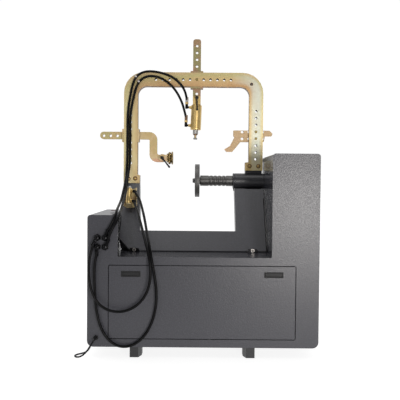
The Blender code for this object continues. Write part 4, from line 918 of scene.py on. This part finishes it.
def hose_clip():
    """Two plated bands that hold the hoses to a small bracket on the arch's corner."""
    way_upper = Vector((0.42, 0, 0.74)).normalized()
    band = [(0.0076, 0), (0.0092, 0.0008), (0.0092, 0.0092), (0.0076, 0.0100)]
    band.append(band[0])
    turned("clip_band_upper", band, at(-0.4010, 0.558, 1.4985), way_upper, SILVER)
    turned("clip_band_lower", band, at(-0.3840, 0.559, 1.4690), way_upper, SILVER)
    outline = rounded_box(0.022, 0.007, 0.004)
    matrix = facing(at(-0.3925, ARCH_FRONT_Y - 0.0002, 1.4830), (0, -1, 0), 0.95)
    slab("clip_bracket", outline, 0.0022, matrix, HOOK_ZINC)


def button_bezels():
    up = (0, 0, 1)
    ring = [(0.0101, 0), (0.0150, 0), (0.0150, 0.0012), (0.0135, 0.0020), (0.0101, 0.0016)]
    ring.append(ring[0])
    turned("stop_bezel", ring, at(-0.518, 0.504, BUTTON_FACE_Z), up, BLACK)
    small = [(0.0101, 0), (0.0128, 0), (0.0128, 0.0008), (0.0118, 0.0014), (0.0101, 0.0011)]
    small.append(small[0])
    turned("start_bezel", small, at(-0.487, 0.204, BUTTON_FACE_Z), up, BLACK)


def latch_frames():
    """Black pull latches: a frame round each paddle and a gripping lip on the paddle."""
    for side, x in (("left", -0.367), ("right", 0.357)):
        outer = rounded_box(0.049, 0.0148, 0.003)
        inner = rounded_box(0.0440, 0.0108, 0.002)
        face = at(x, -0.0001, 0.424)
        matrix = Matrix.Translation(face) @ Matrix.Rotation(math.pi / 2, 4, "X")
        slab(side + "_latch_frame", outer, 0.0016, matrix, BLACK, hole=inner, edge=0.0004)
        lip = rounded_box(0.036, 0.0012, 0.001)
        low = at(x, -0.0013, 0.4175)
        lip_matrix = Matrix.Translation(low) @ Matrix.Rotation(math.pi / 2, 4, "X")
        slab(side + "_latch_lip", lip, 0.0012, lip_matrix, BLACK, side + "_latch", edge=0.0004)


def clamp_lever(node, body, place, tip):
    """A lever with a domed hub, a slim waisted arm and a rounded end."""
    hub_depth = 0.029
    hub = [
        (0, 0),
        (0.0098, 0),
        (0.0100, 0.004),
        (0.0090, 0.012),
        (0.0098, hub_depth - 0.010),
        (0.0092, hub_depth - 0.003),
        (0.0060, hub_depth - 0.0005),
        (0, hub_depth),
    ]
    piece = turned(node + "_hub", hub, place, (0, -1, 0), BLACK, body)
    start = place + Vector((0, -0.022, 0))
    reach = tip - start
    length = reach.length
    arm = [(0, 0), (0.0060, 0.0), (0.0050, 0.010), (0.0042, 0.35 * length), (0.0048, 0.75 * length)]
    end_radius, end_length, steps = 0.0058, 0.006, 6
    for i in range(steps + 1):
        angle = math.pi / 2 * i / steps
        height = length - end_length + end_length * math.sin(angle)
        arm.append((end_radius * math.cos(angle), height))
    turned(node + "_arm", arm, start, reach, BLACK, body)
    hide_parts(node)


def levers():
    ram_pivot = at(RAM_PIVOT.x, 0.5782, RAM_PIVOT.z)
    clamp_lever("ram_lever", "main_ram_lever", ram_pivot, at(-0.039, 0.5562, 1.306))
    arm_pivot = at(CUP_PIVOT_X, 0.5745, CUP_PIVOT_Z)
    clamp_lever("arm_lever", "side_arm_lever", arm_pivot, at(-0.197, 0.5525, 0.972))


def thrust_cup():
    """The swivelling cup: a lobed body behind a plain rim round its open mouth."""

    lobes, lobe_depth = 7, 0.24
    hub_radius, rim_height = 0.025, 0.0505

    def scallop(radius, height, angle):
        if radius < hub_radius or height > rim_height:
            return radius
        return radius * (1 - lobe_depth * (0.5 - 0.5 * math.cos(lobes * angle)) ** 1.5)

    profile = [
        (0.0085, 0.0325),
        (0.0240, 0.0325),
        (0.0300, 0.0332),
        (0.0350, 0.0355),
        (0.0372, 0.0385),
        (0.0372, 0.0440),
        (0.0350, 0.0475),
        (0.0300, 0.0490),
        (0.0240, 0.0500),
        (0.0300, 0.0515),
        (0.0360, 0.0530),
        (0.0380, 0.0545),
        (0.0380, 0.0600),
        (0.0368, 0.0615),
        (0.0330, 0.0620),
        (0.0310, 0.0600),
        (0.0230, 0.0545),
        (0.0210, 0.0600),
        (0.0190, 0.0620),
        (0.0085, 0.0620),
        (0.0085, 0.0325),
    ]
    bm = lathe(profile, 98, scallop)
    place = at(CUP_PIVOT_X, ARCH_MID_Y, CUP_PIVOT_Z)
    along = (1, 0, 0)
    cup = finished("scalloped_cup", bm, CUP_GOLD, "cup", facing(place, along, 0.6))
    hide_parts("thrust_cup")
    seat = [(0, 0.0600), (0.0072, 0.0600), (0.0072, 0.0625), (0, 0.0625)]
    turned("cup_retainer", seat, place, along, SILVER, "swivel_head")
    flange = [(0, 0.0250), (0.0240, 0.0250), (0.0270, 0.0265)]
    flange += [(0.0270, 0.0310), (0.0250, 0.0322), (0, 0.0322)]
    turned("cup_backing", flange, place, along, CUP_GOLD, "swivel_head", 48)


def flange_and_sleeve():
    """The wheel flange, the ribbed sleeve and the housing, all turned about the spindle."""
    axis = at(0, SPINDLE_Y, SPINDLE_Z)
    right = (1, 0, 0)
    face, back, shaft = -0.050, -0.022, 0.0153
    flange_profile = [
        (shaft, face),
        (0.030, face),
        (0.032, face + 0.003),
        (0.074, face + 0.003),
        (0.076, face),
        (0.0940, face),
        (0.0962, face + 0.001),
        (0.0970, face + 0.003),
        (0.0970, back - 0.003),
        (0.0962, back - 0.001),
        (0.0940, back),
        (shaft, back),
    ]
    flange = turned("flange_disc", flange_profile, axis, right, FLANGE_STEEL, "spindle", 96)
    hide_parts("wheel_flange")
    outer, groove, inner, edge = 0.0310, 0.0278, SPINDLE_BORE, 0.002
    start, end = -0.0185, 0.1732
    steps, fullness = 8, 0.35
    profile = [(inner, start), (outer - edge, start), (outer, start + edge)]
    profile += [(outer, 0.0310), (groove, 0.0325)]
    for low, high in ((0.036, 0.057), (0.061, 0.080), (0.086, 0.105), (0.111, 0.129)):
        for step in range(steps + 1):
            share = step / steps
            bulge = math.sin(math.pi * share) ** fullness if 0 < share < 1 else 0
            profile.append((groove + (outer - groove) * bulge, low + (high - low) * share))
    profile += [(groove, 0.1335), (outer, 0.1355)]
    profile += [(outer, end - edge), (outer - edge, end), (inner, end)]
    sleeve_piece = turned("spindle_sleeve", profile, axis, right, STEEL, "spindle", 64)
    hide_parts("ribbed_sleeve")
    start, far_end, radius, bore = 0.1735, 0.372, 0.0455, SPINDLE_BORE
    housing = [
        (bore, far_end),
        (radius, far_end),
        (radius, start + 0.014),
        (radius - 0.0012, start + 0.013),
        (radius - 0.0012, start + 0.011),
        (radius, start + 0.010),
        (radius, start + 0.003),
        (radius - 0.003, start),
        (bore, start),
    ]
    tube_piece = turned("housing_tube", housing, axis, right, HOUSING_GREY, segments=64)
    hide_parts("spindle_housing")


def ram_body():
    """The main ram's barrel with its bore and port bosses, and its rod with rim and foot."""
    place = RAM_FRAME.translation + SHIFT
    up = RAM_FRAME.to_3x3() @ Vector((0, 0, 1))
    side = RAM_FRAME.to_3x3() @ Vector((-1, 0, 0))
    bore_top, rod_top = -0.0600, -0.0700
    barrel = [
        (0, -0.0390),
        (0.0262, -0.0390),
        (0.0285, -0.0400),
        (0.0300, -0.0418),
        (0.0310, -0.0450),
        (0.0310, -0.0500),
        (0.0304, -0.0504),
        (0.0304, -0.0510),
        (0.0310, -0.0514),
        (0.0310, -0.1740),
        (0.0302, -0.1745),
        (0.0302, -0.1755),
        (0.0310, -0.1760),
        (0.0310, -0.1840),
        (0.0303, -0.1855),
        (0.0290, -0.1860),
        (0.0166, -0.1860),
        (0.0166, bore_top),
        (0, bore_top),
    ]
    piece = turned("ram_tube", barrel, place, up, GOLD, segments=72)
    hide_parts("ram_barrel")
    boss = [(0, 0.0270), (0.0112, 0.0270), (0.0098, 0.0330)]
    boss += [(0.0074, 0.0445), (0.0060, 0.0455), (0, 0.0455)]
    for name, drop in RAM_PORTS.items():
        turned("ram_boss_" + name, boss, place + up * drop, side, GOLD, segments=28)
    shaft = [(0, rod_top), (0.0160, rod_top), (0.0160, -0.2080), (0.0150, -0.2092), (0, -0.2092)]
    rod = turned("ram_rod_shaft", shaft, place, up, CHROME, "main_ram_rod", 48)
    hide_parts("ram_rod")
    rim = [(0, -0.2092), (0.0138, -0.2092), (0.0145, -0.2110)]
    rim += [(0.0138, -0.2145), (0.0090, -0.2175), (0, -0.2175)]
    turned("ram_rod_rim", rim, place, up, COPPER, "main_ram_rod", 40)
    neck = [(0, -0.2175), (0.0068, -0.2175), (0.0062, -0.2250), (0.0070, -0.2325), (0, -0.2325)]
    turned("ram_rod_neck", neck, place, up, BAR_ZINC, "main_ram_rod", 32)
    foot = [(0, -0.2325), (0.0110, -0.2335), (0.0125, -0.2360)]
    foot += [(0.0125, -0.2415), (0.0112, -0.2430), (0, -0.2430)]
    turned("ram_rod_foot", foot, place, up, CHROME, "main_ram_rod", 40)


def portable_body():
    """The portable ram in its cradle: a short gold barrel with a bright rod."""
    place = SLOPE_FRAME @ Vector((PORTABLE_X, 0, PORTABLE_OUT)) + SHIFT
    up = SLOPE_FRAME.to_3x3() @ Vector((0, 1, 0))
    low, high = 0.290, 0.394
    bore_end, rod_end = low + 0.010, low + 0.019
    barrel = [
        (0, low),
        (0.0110, low),
        (0.0155, low + 0.005),
        (0.0155, low + 0.012),
        (0.0149, low + 0.013),
        (0.0155, low + 0.014),
        (0.0155, high - 0.002),
        (0.0140, high),
        (0.0096, high),
        (0.0096, bore_end),
        (0, bore_end),
    ]
    piece = turned("portable_tube", barrel, place, up, GOLD, segments=48)
    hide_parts("portable_barrel")
    for name, height in PORTABLE_PORTS.items():
        base = SLOPE_FRAME @ Vector((PORTABLE_X, height, PORTABLE_OUT)) + SHIFT
        way = SLOPE_FRAME.to_3x3() @ PORT_WAY
        boss = [(0, 0.0135), (0.0035, 0.0135), (0.0085, 0.0155), (0.0080, 0.0170)]
        boss += [(0.0070, PORT_REACH), (0, PORT_REACH)]
        turned("portable_boss_" + name, boss, base, way, GOLD, segments=24)
    rod = [
        (0, rod_end),
        (0.0090, rod_end),
        (0.0090, high + 0.004),
        (0.0102, high + 0.0045),
        (0.0110, high + 0.0055),
        (0.0110, high + 0.0130),
        (0.0100, high + 0.0140),
        (0, high + 0.0140),
    ]
    tip = turned("portable_rod_tip", rod, place, up, CHROME, "portable_ram_rod", 40)
    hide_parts("portable_rod")


def spindle_details():
    """The end nut of the spindle, and the grease nipple under the housing."""
    left = Vector((-1, 0, 0))
    nut_place = at(-0.0583, SPINDLE_Y, SPINDLE_Z)
    hexagon("spindle_nut", nut_place, left, 0.0125, 0.0050, BLACKENED, "spindle")
    nipple = [
        (0, 0),
        (0.0055, 0),
        (0.0055, 0.004),
        (0.0030, 0.006),
        (0.0042, 0.008),
        (0.0042, 0.012),
        (0, 0.014),
    ]
    turned("grease_nipple", nipple, at(0.181, SPINDLE_Y, 0.8530), (0, 0, -1), BLACKENED)


def yoke_lugs():
    """Black angle lugs with a bright bolt where the yoke meets the saddle."""
    out = Vector((0, -1, 0))
    for side, x in (("left", -0.374), ("right", 0.269)):
        outline = rounded(
            [(-0.030, 0, 0.001), (0.030, 0, 0.001), (0.024, 0.020, 0.005), (-0.024, 0.020, 0.005)]
        )
        upright = Matrix.Translation(at(x, 0.2560, 0.5102)) @ Matrix.Rotation(math.pi / 2, 4, "X")
        slab(side + "_yoke_lug", outline, 0.003, upright, BLACKENED)
        disc = [(0, 0), (0.0095, 0), (0.0095, 0.0012), (0, 0.0012)]
        face = at(x, 0.2530, 0.5212)
        turned(side + "_lug_washer", disc, face, out, SILVER)
        hexagon(side + "_lug_bolt", face + out * 0.0012, out, 0.0062, 0.0045, STEEL)


def panel_screws():
    """Screws round the rear cover and along the side panels' rear edges."""
    back = 0.6502
    spots = [(x, 0.085) for x in (-0.53, -0.265, 0.0, 0.265, 0.53)]
    spots += [(-0.53, 0.40), (0.53, 0.40), (0.53, 0.74), (0.40, 1.00), (0.53, 1.00), (-0.53, 0.68)]
    spots += [(-0.265, 0.475), (0.0, 0.475), (0.265, 0.475)]
    for index, (x, z) in enumerate(spots):
        screw(f"rear_screw_{index}", at(x, back, z), (0, 1, 0), 0.0050, BLACKENED)


def small_pieces():
    arch_details()
    button_bezels()
    latch_frames()
    levers()
    thrust_cup()
    ram_body()
    portable_body()
    flange_and_sleeve()
    spindle_details()
    yoke_lugs()
    panel_screws()


# Floor, light and camera

ROOM_LEVEL = 0.22
BACKDROP_LEVEL = 1.02
FLOOR_SIZE = 60
FLOOR_MIDDLE_Y = 10
GLOW_NEAR, GLOW_FAR = 0.52, 0.86
GLOW_START_Y, GLOW_END_Y = -1.80, -0.95
EYE = (-0.027, -3.40, 0.902)
EYE_YAW, EYE_PITCH, EYE_ROLL = -0.12, -1.70, 0.5
FOCAL_LENGTH = 60.75
SENSOR_WIDTH = 36.0


def floor():
    """A pale floor that glows brighter from just in front of the machine backwards."""
    material, tree, shader = new_material("studio_floor", 0.0, 0.7)
    grain = noise(tree, place_of(tree), 2.0, 3.0)
    base = ramp(tree, grain, [(0.3, (0.24, 0.24, 0.24)), (0.7, (0.28, 0.28, 0.28))])
    tree.links.new(base, shader.inputs["Base Color"])
    shader.inputs["Emission Color"].default_value = (1.0, 1.0, 1.0, 1)
    split = tree.nodes.new("ShaderNodeSeparateXYZ")
    tree.links.new(place_of(tree), split.inputs["Vector"])
    start, end = GLOW_START_Y - FLOOR_MIDDLE_Y, GLOW_END_Y - FLOOR_MIDDLE_Y
    glow = spread(tree, split.outputs["Y"], GLOW_NEAR, GLOW_FAR, start, end)
    tree.links.new(glow, shader.inputs["Emission Strength"])
    bpy.ops.mesh.primitive_plane_add(size=FLOOR_SIZE, location=(0, FLOOR_MIDDLE_Y, 0))
    plane = bpy.context.object
    plane.name = "studio_floor"
    plane.data.materials.append(material)


def area_light(name, place, target, width, height, power, colour=(1, 1, 1)):
    data = bpy.data.lights.new(name, "AREA")
    data.shape = "RECTANGLE"
    data.size = width
    data.size_y = height
    data.energy = power
    data.color = colour
    lamp = bpy.data.objects.new(name, data)
    bpy.context.scene.collection.objects.link(lamp)
    lamp.location = place
    lamp.rotation_euler = (Vector(target) - Vector(place)).to_track_quat("-Z", "Y").to_euler()


def studio_world():
    """A white backdrop behind the machine and a dimmer room in front of it."""
    world = bpy.data.worlds.new("studio")
    world.use_nodes = True
    tree = world.node_tree
    coordinates = tree.nodes.new("ShaderNodeTexCoord")
    split = tree.nodes.new("ShaderNodeSeparateXYZ")
    tree.links.new(coordinates.outputs["Generated"], split.inputs["Vector"])
    level = spread(tree, split.outputs["Y"], ROOM_LEVEL, BACKDROP_LEVEL, -0.15, 0.30)
    tree.links.new(level, tree.nodes["Background"].inputs["Strength"])
    tree.nodes["Background"].inputs["Color"].default_value = (1.0, 1.0, 1.0, 1)
    bpy.context.scene.world = world


def lights():
    studio_world()
    area_light("strip", (1.12, -3.95, 0.66), (0.4, -0.33, 0.70), 0.45, 0.80, 66, (1.0, 0.97, 0.94))
    area_light("left_strip", (-1.7, -2.4, 1.35), (0.0, 0.3, 1.25), 0.30, 1.0, 4)
    area_light("top", (-0.6, -0.5, 4.0), (0.0, 0.2, 1.2), 3.0, 2.0, 42)
    bpy.context.scene.view_settings.view_transform = "Standard"


def camera():
    data = bpy.data.cameras.new("camera")
    data.lens = FOCAL_LENGTH
    data.sensor_width = SENSOR_WIDTH
    eye = bpy.data.objects.new("camera", data)
    bpy.context.scene.collection.objects.link(eye)
    yaw = Matrix.Rotation(math.radians(EYE_YAW), 4, "Z")
    pitch = Matrix.Rotation(math.radians(90 + EYE_PITCH), 4, "X")
    roll = Matrix.Rotation(math.radians(EYE_ROLL), 4, "Z")
    eye.matrix_world = Matrix.Translation(at(*EYE)) @ yaw @ pitch @ roll
    bpy.context.scene.camera = eye


dress_nodes()
hoses()
mains_lead()
small_pieces()
floor()
lights()
camera()
